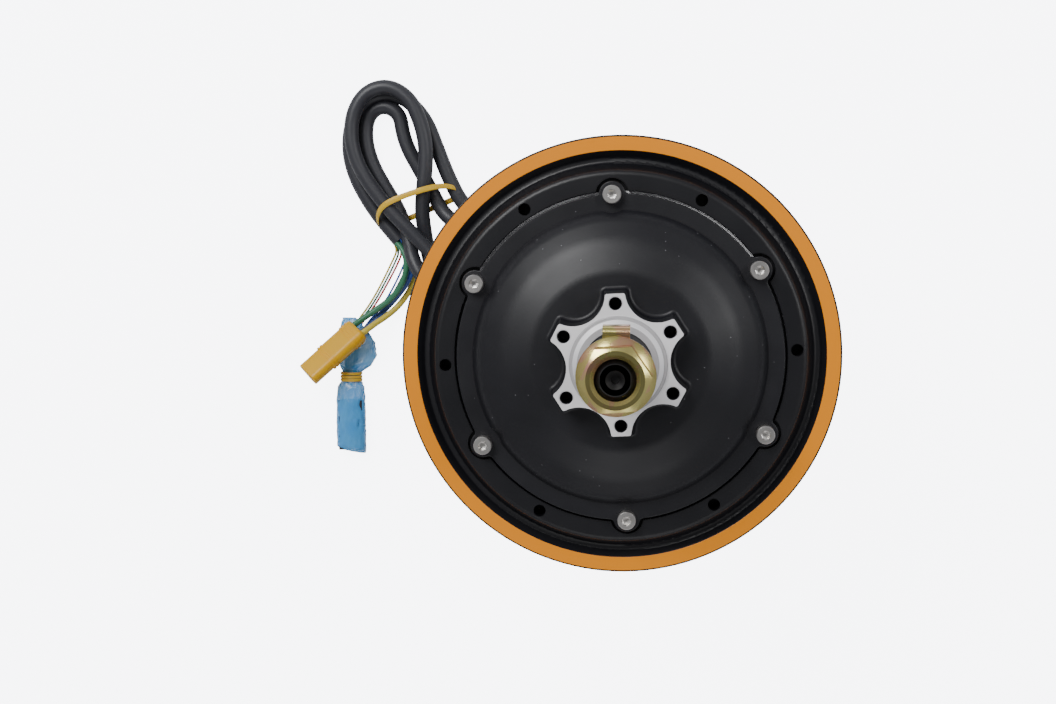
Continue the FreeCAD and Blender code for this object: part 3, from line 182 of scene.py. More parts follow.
def effect_group(name, inputs, outputs):
    """An empty shader node group with those sockets, and its two end nodes."""
    group = bpy.data.node_groups.new(name, "ShaderNodeTree")
    for label, kind, value in inputs:
        socket = group.interface.new_socket(label, in_out="INPUT", socket_type=kind)
        socket.default_value = value
    for label, kind in outputs:
        group.interface.new_socket(label, in_out="OUTPUT", socket_type=kind)
    return group, group.nodes.new("NodeGroupInput"), group.nodes.new("NodeGroupOutput")


FLOAT, COLOUR = "NodeSocketFloat", "NodeSocketColor"
PATCH_SHARE, FINE_GRAIN = 0.2, 4.0     # their noise scales, as shares of the group's scale
grain_group, ends_in, ends_out = effect_group(
    "surface_grain",
    [("Main", COLOUR, (0.5, 0.5, 0.5, 1)), ("Patch", COLOUR, (0.4, 0.4, 0.4, 1)),
     ("Scale", FLOAT, 300.0), ("Smooth", FLOAT, 0.3), ("Rough", FLOAT, 0.5)],
    [("Colour", COLOUR), ("Roughness", FLOAT), ("Height", FLOAT)])
place_node = grain_group.nodes.new("ShaderNodeTexCoord")
coarse = grain_group.nodes.new("ShaderNodeTexNoise")
fine = grain_group.nodes.new("ShaderNodeTexNoise")
for texture, detail in ((coarse, 5.0), (fine, 3.0)):
    texture.inputs["Detail"].default_value = detail
    grain_group.links.new(place_node.outputs["Object"], texture.inputs["Vector"])
grain_group.links.new(calc(grain_group, "MULTIPLY", ends_in.outputs["Scale"], PATCH_SHARE),
                      coarse.inputs["Scale"])
grain_group.links.new(calc(grain_group, "MULTIPLY", ends_in.outputs["Scale"], FINE_GRAIN),
                      fine.inputs["Scale"])
grain_group.links.new(mixed(grain_group, coarse.outputs["Fac"], ends_in.outputs["Main"],
                            ends_in.outputs["Patch"]), ends_out.inputs["Colour"])
spread = calc(grain_group, "SUBTRACT", ends_in.outputs["Rough"], ends_in.outputs["Smooth"])
grain_group.links.new(calc(grain_group, "MULTIPLY_ADD", spread, coarse.outputs["Fac"],
                           ends_in.outputs["Smooth"]), ends_out.inputs["Roughness"])
grain_group.links.new(fine.outputs["Fac"], ends_out.inputs["Height"])


def grained(name, main, patch, scale, smooth, rough, metallic=0.0, bump=0.1, depth=2e-5,
            **sockets):
    """A material with blotchy colour, uneven gloss and a fine raised grain."""
    material, tree, shader = finish(name, main, smooth, metallic, **sockets)
    grain = tree.nodes.new("ShaderNodeGroup")
    grain.node_tree = grain_group
    grain.inputs["Main"].default_value = (*main, 1.0)
    grain.inputs["Patch"].default_value = (*patch, 1.0)
    for label, value in (("Scale", scale), ("Smooth", smooth), ("Rough", rough)):
        grain.inputs[label].default_value = value
    tree.links.new(grain.outputs["Colour"], shader.inputs["Base Color"])
    tree.links.new(grain.outputs["Roughness"], shader.inputs["Roughness"])
    relief = tree.nodes.new("ShaderNodeBump")
    relief.inputs["Strength"].default_value = bump
    relief.inputs["Distance"].default_value = depth
    tree.links.new(grain.outputs["Height"], relief.inputs["Height"])
    tree.links.new(relief.outputs["Normal"], shader.inputs["Normal"])
    return material, tree, shader, grain, relief


def smooth_piece(node, name, material, crease=30.0):
    """A piece with a CAD node's shape, its faces joined and shaded round."""
    mesh = frame["nodes"][node].data.copy()
    mesh.name = name
    work = bmesh.new()
    work.from_mesh(mesh)
    bmesh.ops.remove_doubles(work, verts=work.verts, dist=WELD_GAP)
    work.to_mesh(mesh)
    work.free()
    if "custom_normal" in mesh.attributes:
        mesh.attributes.remove(mesh.attributes["custom_normal"])
    mesh.materials.clear()
    mesh.materials.append(material)
    mesh.shade_smooth()
    mesh.set_sharp_from_angle(angle=math.radians(crease))
    piece = bpy.data.objects.new(name, mesh)
    bpy.context.scene.collection.objects.link(piece)
    weighted = piece.modifiers.new("even shading", "WEIGHTED_NORMAL")
    weighted.keep_sharp = True
    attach(piece, frame["nodes"][node]["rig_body"])
    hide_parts(node)
    return piece


def refinish(material, *nodes):
    """Gives CAD nodes that keep their own shape a better material."""
    for node in nodes:
        for place in frame["nodes"][node].material_slots:
            place.material = material


axle_finish = grained("axle_blackened", AXLE_BLACK, AXLE_WORN, 400, 0.30, 0.48, 0.9)[0]
smooth_piece("axle", "axle_bar", axle_finish, 22)

LATHE_SIDES = 96
TIP_Z, TIP_PLAIN = 0.2225, 1.2 * MM
TIP_ROOT, TIP_CREST, TIP_PITCH, TIP_THREADS = 6.1 * MM, 6.85 * MM, 1.5 * MM, 5
TIP_FACE = [(6.1, -1.1), (5.5, -0.3), (5.1, 0.0), (3.2, 0.0), (1.6, -1.6), (1.6, -4.0)]


def skinned(loops):
    """Skins loops of points one to the next, and gives the work and its rings."""
    work = bmesh.new()
    rings = [[work.verts.new(place) for place in loop] for loop in loops]
    for lower, upper in zip(rings, rings[1:]):
        for side in range(len(lower)):
            after = (side + 1) % len(lower)
            work.faces.new((lower[side], lower[after], upper[after], upper[side]))
    return work, rings


def turned_loop(radius, height):
    """One round loop of points about the axle."""
    angles = [2 * math.pi * k / LATHE_SIDES for k in range(LATHE_SIDES)]
    return [(radius * math.cos(a), radius * math.sin(a), height) for a in angles]


def formed(name, work, material):
    """A new piece from finished work, its faces turned outwards and shaded round."""
    bmesh.ops.recalc_face_normals(work, faces=work.faces)
    mesh = bpy.data.meshes.new(name)
    work.to_mesh(mesh)
    work.free()
    mesh.materials.append(material)
    mesh.shade_smooth()
    piece = bpy.data.objects.new(name, mesh)
    bpy.context.scene.collection.objects.link(piece)
    return piece


def turned_piece(name, work, material, node, crease=25.0):
    """A piece from turned work, with its sharp edges kept, that stands for that CAD node."""
    piece = formed(name, work, material)
    piece.data.set_sharp_from_angle(angle=math.radians(crease))
    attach(piece, "stator")
    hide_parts(node)


tip_profile = []
for turn in range(TIP_THREADS):
    foot = TIP_Z - (TIP_THREADS - turn) * TIP_PITCH - TIP_PLAIN
    tip_profile += [(TIP_ROOT, foot), (TIP_CREST, foot + TIP_PITCH / 2)]
tip_profile += [(r * MM, TIP_Z + z * MM) for r, z in TIP_FACE]
work, rings = skinned([turned_loop(r, z) for r, z in tip_profile])
work.faces.new(rings[0])
work.faces.new(rings[-1])
turned_piece("axle_tip", work, axle_finish, "axle")

# --- Stator: a stack of punched silicon-steel sheets pressed on an aluminium carrier, each
# tooth wound with enamelled copper wire over a moulded slot insulator. Hidden by the covers.
refinish(grained("carrier_aluminium", (0.62, 0.62, 0.63), (0.50, 0.50, 0.52), 250,
                 0.35, 0.55, 1.0)[0], "stator_carrier", "carrier_key")
lamination_finish, tree, shader = finish("lamination_steel", (0.30, 0.29, 0.30), 0.45, 0.9)
sheets = tree.nodes.new("ShaderNodeTexWave")
sheets.bands_direction = "Z"
sheets.inputs["Scale"].default_value = 320.0
place_node = tree.nodes.new("ShaderNodeTexCoord")
tree.links.new(place_node.outputs["Object"], sheets.inputs["Vector"])
tree.links.new(mixed(tree, sheets.outputs["Fac"], (0.14, 0.13, 0.13), (0.34, 0.33, 0.34)),
               shader.inputs["Base Color"])
refinish(lamination_finish, "stator_core")
refinish(grained("slot_nylon", (0.75, 0.73, 0.66), (0.66, 0.63, 0.55), 300, 0.45, 0.6)[0],
         "slot_insulators")
refinish(grained("enamelled_copper", (0.60, 0.22, 0.07), (0.42, 0.13, 0.04), 900,
                 0.22, 0.40, 0.9, 0.5, 1e-4)[0], "coils_phase_a", "coils_phase_b",
         "coils_phase_c")
refinish(grained("lead_sleeving", (0.05, 0.05, 0.055), (0.03, 0.03, 0.03), 300, 0.5, 0.7)[0],
         "axle_lead_bundle", "phase_leads")
refinish(grained("board_lacquer", (0.01, 0.13, 0.05), (0.01, 0.09, 0.03), 400, 0.3, 0.5)[0],
         "hall_board")
refinish(grained("sensor_moulding", (0.02, 0.02, 0.02), (0.04, 0.04, 0.04), 500,
                 0.4, 0.6)[0], "hall_sensors", "hall_board_feet")

# --- Bearings and seals: two 6003 deep-groove bearings of hardened steel with pressed cages
# and shields, a lip seal of black rubber outside each, and a spring circlip behind.
ring_finish = grained("bearing_ring_steel", (0.62, 0.62, 0.63), (0.55, 0.55, 0.57), 350,
                      0.15, 0.28, 1.0)[0]
ball_finish = grained("ball_steel", (0.75, 0.75, 0.76), (0.70, 0.70, 0.72), 300,
                      0.05, 0.12, 1.0)[0]
cage_finish = grained("cage_sheet", (0.50, 0.47, 0.42), (0.42, 0.40, 0.36), 350,
                      0.3, 0.45, 1.0)[0]
seal_finish = grained("seal_rubber", (0.022, 0.022, 0.024), (0.036, 0.036, 0.038), 500,
                      0.5, 0.72, 0.0, 0.25, 4e-5)[0]
for end in ("upper", "lower"):
    refinish(ring_finish, end + "_bearing_inner_ring", end + "_bearing_outer_ring")
    refinish(ball_finish, end + "_bearing_balls")
    refinish(cage_finish, end + "_bearing_cage", end + "_bearing_shields")
    smooth_piece(end + "_axle_seal", end + "_lip_seal", seal_finish)
refinish(axle_finish, "axle_circlips")

# --- Rim: a cast aluminium wheel body, turned and painted satin black, with an orange ring
# sprayed on each lip. In the narrow seat round each cover the paint has rubbed through to
# the metal in patches. These are kept to the +Y side, towards the key lamp, as a painted
# highlight.
MIDDLE_Z = 0.112
PAINT_BLACK = (0.004, 0.004, 0.006)
PAINT_PATCH = (0.007, 0.007, 0.009)
ORANGE = (0.80, 0.26, 0.0)
LIP_BAND_R = (0.0775, 0.0826)
LIP_FACE_H = 0.0294
SEAT_R = (0.0613, 0.0624)
SEAT_H = (0.0318, 0.0352)
BARE_METAL = (0.92, 0.92, 0.93)
BARE_ROUGH = 0.22
WEAR_AND_HIGHLIGHT_SCALE, WEAR_AND_HIGHLIGHT_FROM, HIGHLIGHT_SIDE_FROM_Y = 24.0, 0.38, 0.030     # where the paint has gone, kept to +Y as a painted highlight


def across(tree):
    """Distance from the axle and height from the middle plane, as two outputs."""
    place = tree.nodes.new("ShaderNodeTexCoord")
    parts = tree.nodes.new("ShaderNodeSeparateXYZ")
    tree.links.new(place.outputs["Object"], parts.inputs[0])
    square = calc(tree, "ADD", calc(tree, "MULTIPLY", parts.outputs[0], parts.outputs[0]),
                  calc(tree, "MULTIPLY", parts.outputs[1], parts.outputs[1]))
    height = calc(tree, "ABSOLUTE", calc(tree, "SUBTRACT", parts.outputs[2], MIDDLE_Z))
    return calc(tree, "SQRT", square), height


def between(tree, value, low, high):
    """1 where the value lies between the two limits."""
    return calc(tree, "MULTIPLY", calc(tree, "GREATER_THAN", value, low),
                calc(tree, "LESS_THAN", value, high))


rim_finish, tree, shader, grain = grained(
    "rim_paint", PAINT_BLACK, PAINT_PATCH, 260, 0.34, 0.46, 0.0, 0.12, 3e-5,
    Specular_IOR_Level=0.42)[:4]
radius, height = across(tree)
lip = calc(tree, "MULTIPLY", between(tree, radius, *LIP_BAND_R),
           calc(tree, "GREATER_THAN", height, LIP_FACE_H))
seat_wear_and_highlight = calc(tree, "MULTIPLY", between(tree, radius, *SEAT_R), between(tree, height, *SEAT_H))
place_node = tree.nodes.new("ShaderNodeTexCoord")
worn_and_highlight = tree.nodes.new("ShaderNodeTexNoise")
worn_and_highlight.inputs["Scale"].default_value = WEAR_AND_HIGHLIGHT_SCALE
tree.links.new(place_node.outputs["Object"], worn_and_highlight.inputs["Vector"])
side_place = tree.nodes.new("ShaderNodeSeparateXYZ")
tree.links.new(place_node.outputs["Object"], side_place.inputs[0])
# Bare metal shows in noise patches as worn paint, but only on the +Y side: a painted highlight
# on the seat edge that faces the key lamp.
seat_wear_and_highlight = calc(tree, "MULTIPLY", seat_wear_and_highlight,
            calc(tree, "MULTIPLY", calc(tree, "GREATER_THAN", worn_and_highlight.outputs["Fac"], WEAR_AND_HIGHLIGHT_FROM),
                 calc(tree, "GREATER_THAN", side_place.outputs[1], HIGHLIGHT_SIDE_FROM_Y)))
painted = mixed(tree, lip, grain.outputs["Colour"], ORANGE)
tree.links.new(mixed(tree, seat_wear_and_highlight, painted, BARE_METAL), shader.inputs["Base Color"])
tree.links.new(seat_wear_and_highlight, shader.inputs["Metallic"])
tree.links.new(calc(tree, "MULTIPLY_ADD", seat_wear_and_highlight, BARE_ROUGH, grain.outputs["Roughness"]),
               shader.inputs["Roughness"])
smooth_piece("rim", "wheel_rim", rim_finish, 24)

# --- Magnet ring: a steel yoke pressed in the rim, lined with curved magnets whose poles
# alternate. Hidden by the covers.
refinish(grained("yoke_steel", (0.33, 0.33, 0.34), (0.25, 0.25, 0.26), 250, 0.4, 0.6, 1.0)[0],
         "magnet_yoke")
refinish(grained("nickel_plating", (0.58, 0.56, 0.52), (0.50, 0.48, 0.45), 250,
                 0.18, 0.32, 1.0)[0], "magnets_north", "magnets_south")

# --- Covers: aluminium castings painted satin black. On the disc side the lobed face, the
# spigot and its wide chamfer are turned bright afterwards for the brake disc.
COVER_BLACK = (0.006, 0.006, 0.008)
COVER_PATCH = (0.010, 0.010, 0.013)
FACED_H = 0.0627
SPIGOT_R = 0.01765
CHAMFER_R = (0.0147, 0.0163)
TURNED = (0.88, 0.87, 0.88)
TURNED_DARK = (0.52, 0.51, 0.52)
TURNED_ROUGH = 0.22
DUST = (0.13, 0.13, 0.14)

rings_group, ends_in, ends_out = effect_group(
    "turned_rings", [("Radius", FLOAT, 0.02), ("Pitch", FLOAT, 4000.0)], [("Height", FLOAT)])
stacked = rings_group.nodes.new("ShaderNodeCombineXYZ")
rings_group.links.new(ends_in.outputs["Radius"], stacked.inputs[0])
marks = rings_group.nodes.new("ShaderNodeTexNoise")
marks.inputs["Detail"].default_value = 2.0
rings_group.links.new(ends_in.outputs["Pitch"], marks.inputs["Scale"])
rings_group.links.new(stacked.outputs[0], marks.inputs["Vector"])
rings_group.links.new(marks.outputs["Fac"], ends_out.inputs["Height"])

dust_group, ends_in, ends_out = effect_group(
    "dust_specks", [("Scale", FLOAT, 420.0), ("Size", FLOAT, 0.09), ("Share", FLOAT, 0.13)],
    [("Mask", FLOAT)])
place_node = dust_group.nodes.new("ShaderNodeTexCoord")
cells = dust_group.nodes.new("ShaderNodeTexVoronoi")
dust_group.links.new(place_node.outputs["Object"], cells.inputs["Vector"])
dust_group.links.new(ends_in.outputs["Scale"], cells.inputs["Scale"])
chance = dust_group.nodes.new("ShaderNodeSeparateColor")
dust_group.links.new(cells.outputs["Color"], chance.inputs[0])
dust_group.links.new(calc(dust_group, "MULTIPLY",
                          calc(dust_group, "LESS_THAN", cells.outputs["Distance"],
                               ends_in.outputs["Size"]),
                          calc(dust_group, "LESS_THAN", chance.outputs[0],
                               ends_in.outputs["Share"])), ends_out.inputs["Mask"])

cover_finish, tree, shader, grain, relief = grained(
    "cover_paint", COVER_BLACK, COVER_PATCH, 320, 0.34, 0.50, 0.0, 0.30, 5e-5,
    Specular_IOR_Level=0.42)
radius, height = across(tree)
faced = calc(tree, "GREATER_THAN", height, FACED_H)
bright = calc(tree, "MAXIMUM", calc(tree, "GREATER_THAN", radius, SPIGOT_R),
              between(tree, radius, *CHAMFER_R))
rings = tree.nodes.new("ShaderNodeGroup")
rings.node_tree = rings_group
tree.links.new(radius, rings.inputs["Radius"])
dust = tree.nodes.new("ShaderNodeGroup")
dust.node_tree = dust_group
metal = mixed(tree, bright, TURNED_DARK, TURNED)
dusty = mixed(tree, dust.outputs["Mask"], grain.outputs["Colour"], DUST)
tree.links.new(mixed(tree, faced, dusty, metal), shader.inputs["Base Color"])
tree.links.new(faced, shader.inputs["Metallic"])
tree.links.new(calc(tree, "MULTIPLY_ADD", faced, TURNED_ROUGH, grain.outputs["Roughness"]),
               shader.inputs["Roughness"])
tree.links.new(calc(tree, "MULTIPLY_ADD", faced,
                    calc(tree, "SUBTRACT", rings.outputs["Height"], grain.outputs["Height"]),
                    grain.outputs["Height"]), relief.inputs["Height"])
smooth_piece("disc_side_cover", "disc_side_casting", cover_finish, 26)
smooth_piece("cable_side_cover", "cable_side_casting", cover_finish, 26)
refinish(grained("gasket_fibre", (0.10, 0.10, 0.10), (0.16, 0.16, 0.15), 500, 0.7, 0.85)[0],
         "disc_side_gasket", "cable_side_gasket")

# --- Cover screws: six M4 socket-head cap screws a side, of stainless steel, cold-headed with
# a fine knurl round the head and a broached hexagon, then rolled with their thread.
HEAD_R, HEAD_H, SHANK_R, SHANK_LENGTH = 3.5 * MM, 4.0 * MM, 1.95 * MM, 12.0 * MM
SOCKET_HALF, SOCKET_DEPTH, SOCKET_POINT = 1.5 * MM, 2.4 * MM, 0.5 * MM
KNURL = 0.05 * MM
SCREW_SIDES = 72
SCREW_CIRCLE_R = 0.061
SCREWS_A_SIDE = 6
ROTOR_TURN = math.radians(2.9)
screw_finish = grained("stainless_head", (0.78, 0.76, 0.73), (0.66, 0.64, 0.61), 700,
                       0.24, 0.44, 1.0)[0]


def hexagon_radius(angle, half):
    """Distance from the centre to a hexagon's side, in that direction."""
    return half / math.cos((angle + math.pi / 6) % (math.pi / 3) - math.pi / 6)


SCREW_LOOPS = [     # radius, height, and whether the loop is round, knurled or a hexagon
    (SHANK_R * 0.7, -SHANK_LENGTH, "round"), (SHANK_R, -SHANK_LENGTH * 0.96, "round"),
    (SHANK_R, 0.0, "round"), (HEAD_R * 0.96, 0.0, "round"), (HEAD_R, HEAD_H * 0.04, "knurl"),
    (HEAD_R, HEAD_H * 0.86, "knurl"), (HEAD_R * 0.97, HEAD_H * 0.94, "round"),
    (HEAD_R * 0.90, HEAD_H, "round"), (SOCKET_HALF * 1.24, HEAD_H, "round"),
    (SOCKET_HALF, HEAD_H - 0.28 * MM, "hexagon"),
    (SOCKET_HALF, HEAD_H - SOCKET_DEPTH, "hexagon")]


def screw_loop(radius, height, kind):
    """One loop of points on the screw, about its own axis."""
    loop = []
    for side in range(SCREW_SIDES):
        angle = 2 * math.pi * side / SCREW_SIDES
        reach = radius
        if kind == "hexagon":
            reach = hexagon_radius(angle, radius)
        elif kind == "knurl":
            reach = radius - KNURL * (side % 2)
        loop.append((reach * math.cos(angle), reach * math.sin(angle), height))
    return loop


work, rings = skinned([screw_loop(*row) for row in SCREW_LOOPS])
work.faces.new(rings[0])
bottom = work.verts.new((0, 0, HEAD_H - SOCKET_DEPTH - SOCKET_POINT))
for side in range(SCREW_SIDES):
    work.faces.new((rings[-1][side], rings[-1][(side + 1) % SCREW_SIDES], bottom))
bmesh.ops.recalc_face_normals(work, faces=work.faces)
screw_mesh = bpy.data.meshes.new("one_screw")
work.to_mesh(screw_mesh)
work.free()
screw_mesh.shade_smooth()
screw_mesh.set_sharp_from_angle(angle=math.radians(28))
one_screw = bpy.data.objects.new("one_screw", screw_mesh)
bpy.context.scene.collection.objects.link(one_screw)

screw_ring = bpy.data.node_groups.new("ring_of_screws", "GeometryNodeTree")
for label, kind in (("Screw", "NodeSocketObject"), ("Count", "NodeSocketInt"),
                    ("Circle radius", "NodeSocketFloat"), ("Turn", "NodeSocketRotation"),
                    ("Seat", "NodeSocketVector"), ("Finish", "NodeSocketMaterial")):
    screw_ring.interface.new_socket(label, in_out="INPUT", socket_type=kind)
screw_ring.interface.new_socket("Geometry", in_out="OUTPUT", socket_type="NodeSocketGeometry")
ends_in = screw_ring.nodes.new("NodeGroupInput")
ends_out = screw_ring.nodes.new("NodeGroupOutput")
circle = screw_ring.nodes.new("GeometryNodeMeshCircle")
info = screw_ring.nodes.new("GeometryNodeObjectInfo")
on_points = screw_ring.nodes.new("GeometryNodeInstanceOnPoints")
moved = screw_ring.nodes.new("GeometryNodeTransform")
real = screw_ring.nodes.new("GeometryNodeRealizeInstances")
coated = screw_ring.nodes.new("GeometryNodeSetMaterial")
for source, target in (
        (ends_in.outputs["Count"], circle.inputs["Vertices"]),
        (ends_in.outputs["Circle radius"], circle.inputs["Radius"]),
        (ends_in.outputs["Screw"], info.inputs["Object"]),
        (circle.outputs["Mesh"], on_points.inputs["Points"]),
        (info.outputs["Geometry"], on_points.inputs["Instance"]),
        (on_points.outputs["Instances"], moved.inputs["Geometry"]),
        (ends_in.outputs["Turn"], moved.inputs["Rotation"]),
        (ends_in.outputs["Seat"], moved.inputs["Translation"]),
        (moved.outputs["Geometry"], real.inputs["Geometry"]),
        (real.outputs["Geometry"], coated.inputs["Geometry"]),
        (ends_in.outputs["Finish"], coated.inputs["Material"]),
        (coated.outputs["Geometry"], ends_out.inputs["Geometry"])):
    screw_ring.links.new(source, target)

for node, name, over, seat_z in (
        ("disc_side_screws", "disc_side_cap_screws", 0.0,
         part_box("disc_side_screws")[1].z - HEAD_H),
        ("cable_side_screws", "cable_side_cap_screws", math.pi,
         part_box("cable_side_screws")[0].z + HEAD_H)):
    holder = bpy.data.objects.new(name + "_maker", bpy.data.meshes.new(name + "_maker"))
    bpy.context.scene.collection.objects.link(holder)
    maker = holder.modifiers.new("ring of screws", "NODES")
    maker.node_group = screw_ring
    values = {"Screw": one_screw, "Count": SCREWS_A_SIDE, "Circle radius": SCREW_CIRCLE_R,
              "Turn": (over, 0.0, math.pi / 2 + ROTOR_TURN), "Seat": (0.0, 0.0, seat_z),
              "Finish": screw_finish}
    for item in screw_ring.interface.items_tree:
        if item.in_out == "INPUT":
            maker[item.identifier] = values[item.name]
    bpy.context.view_layer.update()
    whole = bpy.data.meshes.new_from_object(
        holder.evaluated_get(bpy.context.evaluated_depsgraph_get()))
    whole.name = name
    bpy.data.objects.remove(holder)
    piece = bpy.data.objects.new(name, whole)
    bpy.context.scene.collection.objects.link(piece)
    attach(piece, "rotor")
    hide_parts(node)
bpy.data.objects.remove(one_screw)

# --- Axle nuts and tab washers: M14 flange nuts and pressed washers whose bent tab stops the
# axle turning. Both are steel, zinc plated and yellow passivated, which shifts in hue.
HUE_SCALE = 130.0
ROSE_FROM, ROSE_BASE, ROSE_GAIN = 0.52, 0.40, 3.0     # where the plating turns rosy
GOLD, GREENISH, ROSE = (0.86, 0.60, 0.22), (0.66, 0.70, 0.26), (0.90, 0.46, 0.34)
zinc_finish, tree, shader, grain = grained(
    "yellow_zinc", GOLD, GREENISH, 380, 0.16, 0.30, 1.0, 0.10, 2e-5)[:4]
place_node = tree.nodes.new("ShaderNodeTexCoord")
hue_drift = tree.nodes.new("ShaderNodeTexNoise")
hue_drift.inputs["Scale"].default_value = HUE_SCALE
tree.links.new(place_node.outputs["Object"], hue_drift.inputs["Vector"])
rosy = calc(tree, "MULTIPLY", calc(tree, "GREATER_THAN", hue_drift.outputs["Fac"], ROSE_FROM),
            calc(tree, "SUBTRACT", hue_drift.outputs["Fac"], ROSE_BASE))
tree.links.new(mixed(tree, calc(tree, "MULTIPLY", rosy, ROSE_GAIN), grain.outputs["Colour"],
                     ROSE), shader.inputs["Base Color"])
NUT_HALF, NUT_BORE, NUT_FACE, NUT_FLANGE = 10.5 * MM, 7.0 * MM, 9.7 * MM, 13.5 * MM
NUT_FOOT, NUT_TOP = 0.099, 0.112      # from the middle plane
NUT_CORNER = math.radians(4.4)
FOOT_SINK, TOP_SINK = 0.9 * MM, 1.3 * MM      # the chamfers round the bore
CHAMFER_SLOPE, FLANGE_SLOPE, FLANGE_RISE = 0.50, 0.42, 3.1 * MM
NUT_SIDES = 120


def nut_loop(radius, height, upward):
    """A round loop, or the hexagon where no radius is given, its height set by its reach."""
    loop = []
    for k in range(NUT_SIDES):
        angle = NUT_CORNER + 2 * math.pi * k / NUT_SIDES
        reach = radius or hexagon_radius(angle - NUT_CORNER + math.pi / 6, NUT_HALF)
        level = height(reach) if callable(height) else height
        loop.append((reach * math.cos(angle), reach * math.sin(angle),
                     MIDDLE_Z + upward * level))
    return loop


work = bmesh.new()
for upward in (1, -1):
    one_nut, rings = skinned([nut_loop(r, h, upward) for r, h in (
        (NUT_BORE + FOOT_SINK, NUT_FOOT), (NUT_FLANGE - 0.3 * MM, NUT_FOOT),
        (NUT_FLANGE, NUT_FOOT + 0.3 * MM), (NUT_FLANGE, NUT_FOOT + 1.2 * MM),
        (NUT_FLANGE - 0.4 * MM, NUT_FOOT + 1.6 * MM),
        (None, lambda reach: NUT_FOOT + FLANGE_RISE - (reach - NUT_HALF) * FLANGE_SLOPE),
        (None, lambda reach: NUT_TOP - 0.1 * MM - (reach - NUT_FACE) * CHAMFER_SLOPE),
        (NUT_FACE, NUT_TOP), (NUT_BORE + TOP_SINK, NUT_TOP), (NUT_BORE, NUT_TOP - TOP_SINK),
        (NUT_BORE, NUT_FOOT + FOOT_SINK), (NUT_BORE + FOOT_SINK, NUT_FOOT))])
    bmesh.ops.remove_doubles(one_nut, verts=one_nut.verts, dist=WELD_GAP)
    half_mesh = bpy.data.meshes.new("one_nut")
    one_nut.to_mesh(half_mesh)
    one_nut.free()
    work.from_mesh(half_mesh)
    bpy.data.meshes.remove(half_mesh)
turned_piece("flange_nuts", work, zinc_finish, "axle_nuts", 20)
smooth_piece("tab_washers", "stop_washers", zinc_finish, 24)

# --- Cable and its strain relief: a round seven-millimetre cable in a soft black sheath,
# wound twice and a half by hand, with a moulded rubber relief where it leaves the axle.
SHEATH = (0.030, 0.031, 0.039)
CABLE_D = 0.007
CABLE_ROUTE = [
    (-31.7, -4.5, 47.5), (-49.0, -7.0, 45.0), (-65.0, -7.5, 32.0), (-78.5, -2.5, 15.0),
    (-87.5, 12.0, 5.2), (-93.4, 32.4, 3.7)]
HANK_TURNS = [
    # the raised outer turn
    (-95.2, 44, 3.8), (-96.2, 54, 6.4), (-95, 64, 10.8), (-93.6, 75, 11.3),
    (-93.4, 86, 11.3), (-96, 97, 11.3), (-101, 107.5, 11.2), (-111, 113.5, 11.2),
    (-121.5, 110.5, 11.2), (-127.8, 101, 11.2), (-129, 89, 11.2), (-126, 77, 11.2),
    (-119.3, 66, 11.2), (-111.3, 56, 11.2), (-102.6, 47, 11.2), (-94.3, 38.5, 11.2),
    (-86, 29.5, 11.2), (-78, 21.5, 11.2), (-68.5, 15.5, 11.2), (-58.5, 16, 11.2),
    (-52, 22.5, 11.2), (-51.5, 32, 11.2), (-56, 40.5, 11.2), (-64, 45.5, 11.0),
    (-72, 47, 9.8),
    (-80, 49, 6.5),
    # the small inner turn
    (-86.8, 54.5, 3.8), (-91.2, 63, 3.8), (-97, 73.5, 3.8), (-103, 84, 3.8),
    (-105.6, 92, 3.8), (-106.6, 99.5, 3.8), (-111.2, 103.8, 3.8), (-117.2, 104, 3.8),
    (-122, 99.6, 3.8), (-123.4, 91.5, 3.8), (-122.2, 83, 3.8), (-119, 74.5, 3.8),
    (-113.5, 65, 3.8), (-107.4, 55, 3.8), (-103.2, 43, 4.2), (-99.8, 30.5, 11.2),
    (-91.5, 19, 13.1), (-82, 12, 12.8), (-71, 9, 7.2), (-58.5, 12, 3.8), (-51.5, 24, 3.8),
    (-52.5, 36, 3.8),
    (-59.5, 45.5, 3.8), (-69, 51.5, 3.8),
    # the last half turn, under the first
    (-77.5, 58.5, 3.8), (-83.5, 70, 3.8), (-89, 84, 3.8), (-94.2, 97.5, 3.8),
    (-102.5, 107, 3.8), (-113, 110.5, 3.8), (-123.5, 107, 3.8), (-130, 97, 3.8),
    (-131.5, 84, 3.8), (-128.8, 72, 3.8), (-122.5, 60, 3.8), (-115, 49.5, 3.8),
    (-107.5, 41, 4.1)]
sheath_finish = grained("cable_sheath", SHEATH, (0.036, 0.037, 0.043), 260, 0.36, 0.52,
                        0.0, 0.20, 4e-5)[0]


def cord_curve(name, route, thick, material):
    """A round cord along one smooth spline, its route given in millimetres."""
    curve = bpy.data.curves.new(name, "CURVE")
    curve.dimensions = "3D"
    curve.resolution_u = 10
    curve.bevel_depth = thick / 2
    curve.bevel_resolution = 5
    curve.use_fill_caps = True
    spline = curve.splines.new("NURBS")
    spline.points.add(len(route) - 1)
    for point, place in zip(spline.points, route):
        point.co = (place[0] * MM, place[1] * MM, place[2] * MM, 1.0)
    spline.order_u = 3
    spline.use_endpoint_u = True
    curve.materials.append(material)
    piece = bpy.data.objects.new(name, curve)
    bpy.context.scene.collection.objects.link(piece)
    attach(piece, "stator")
    return piece


cable = cord_curve("power_cable", CABLE_ROUTE + HANK_TURNS, CABLE_D, sheath_finish)
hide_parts("motor_cable", "cable_hank")
smooth_piece("cable_grommet", "strain_relief", seal_finish)

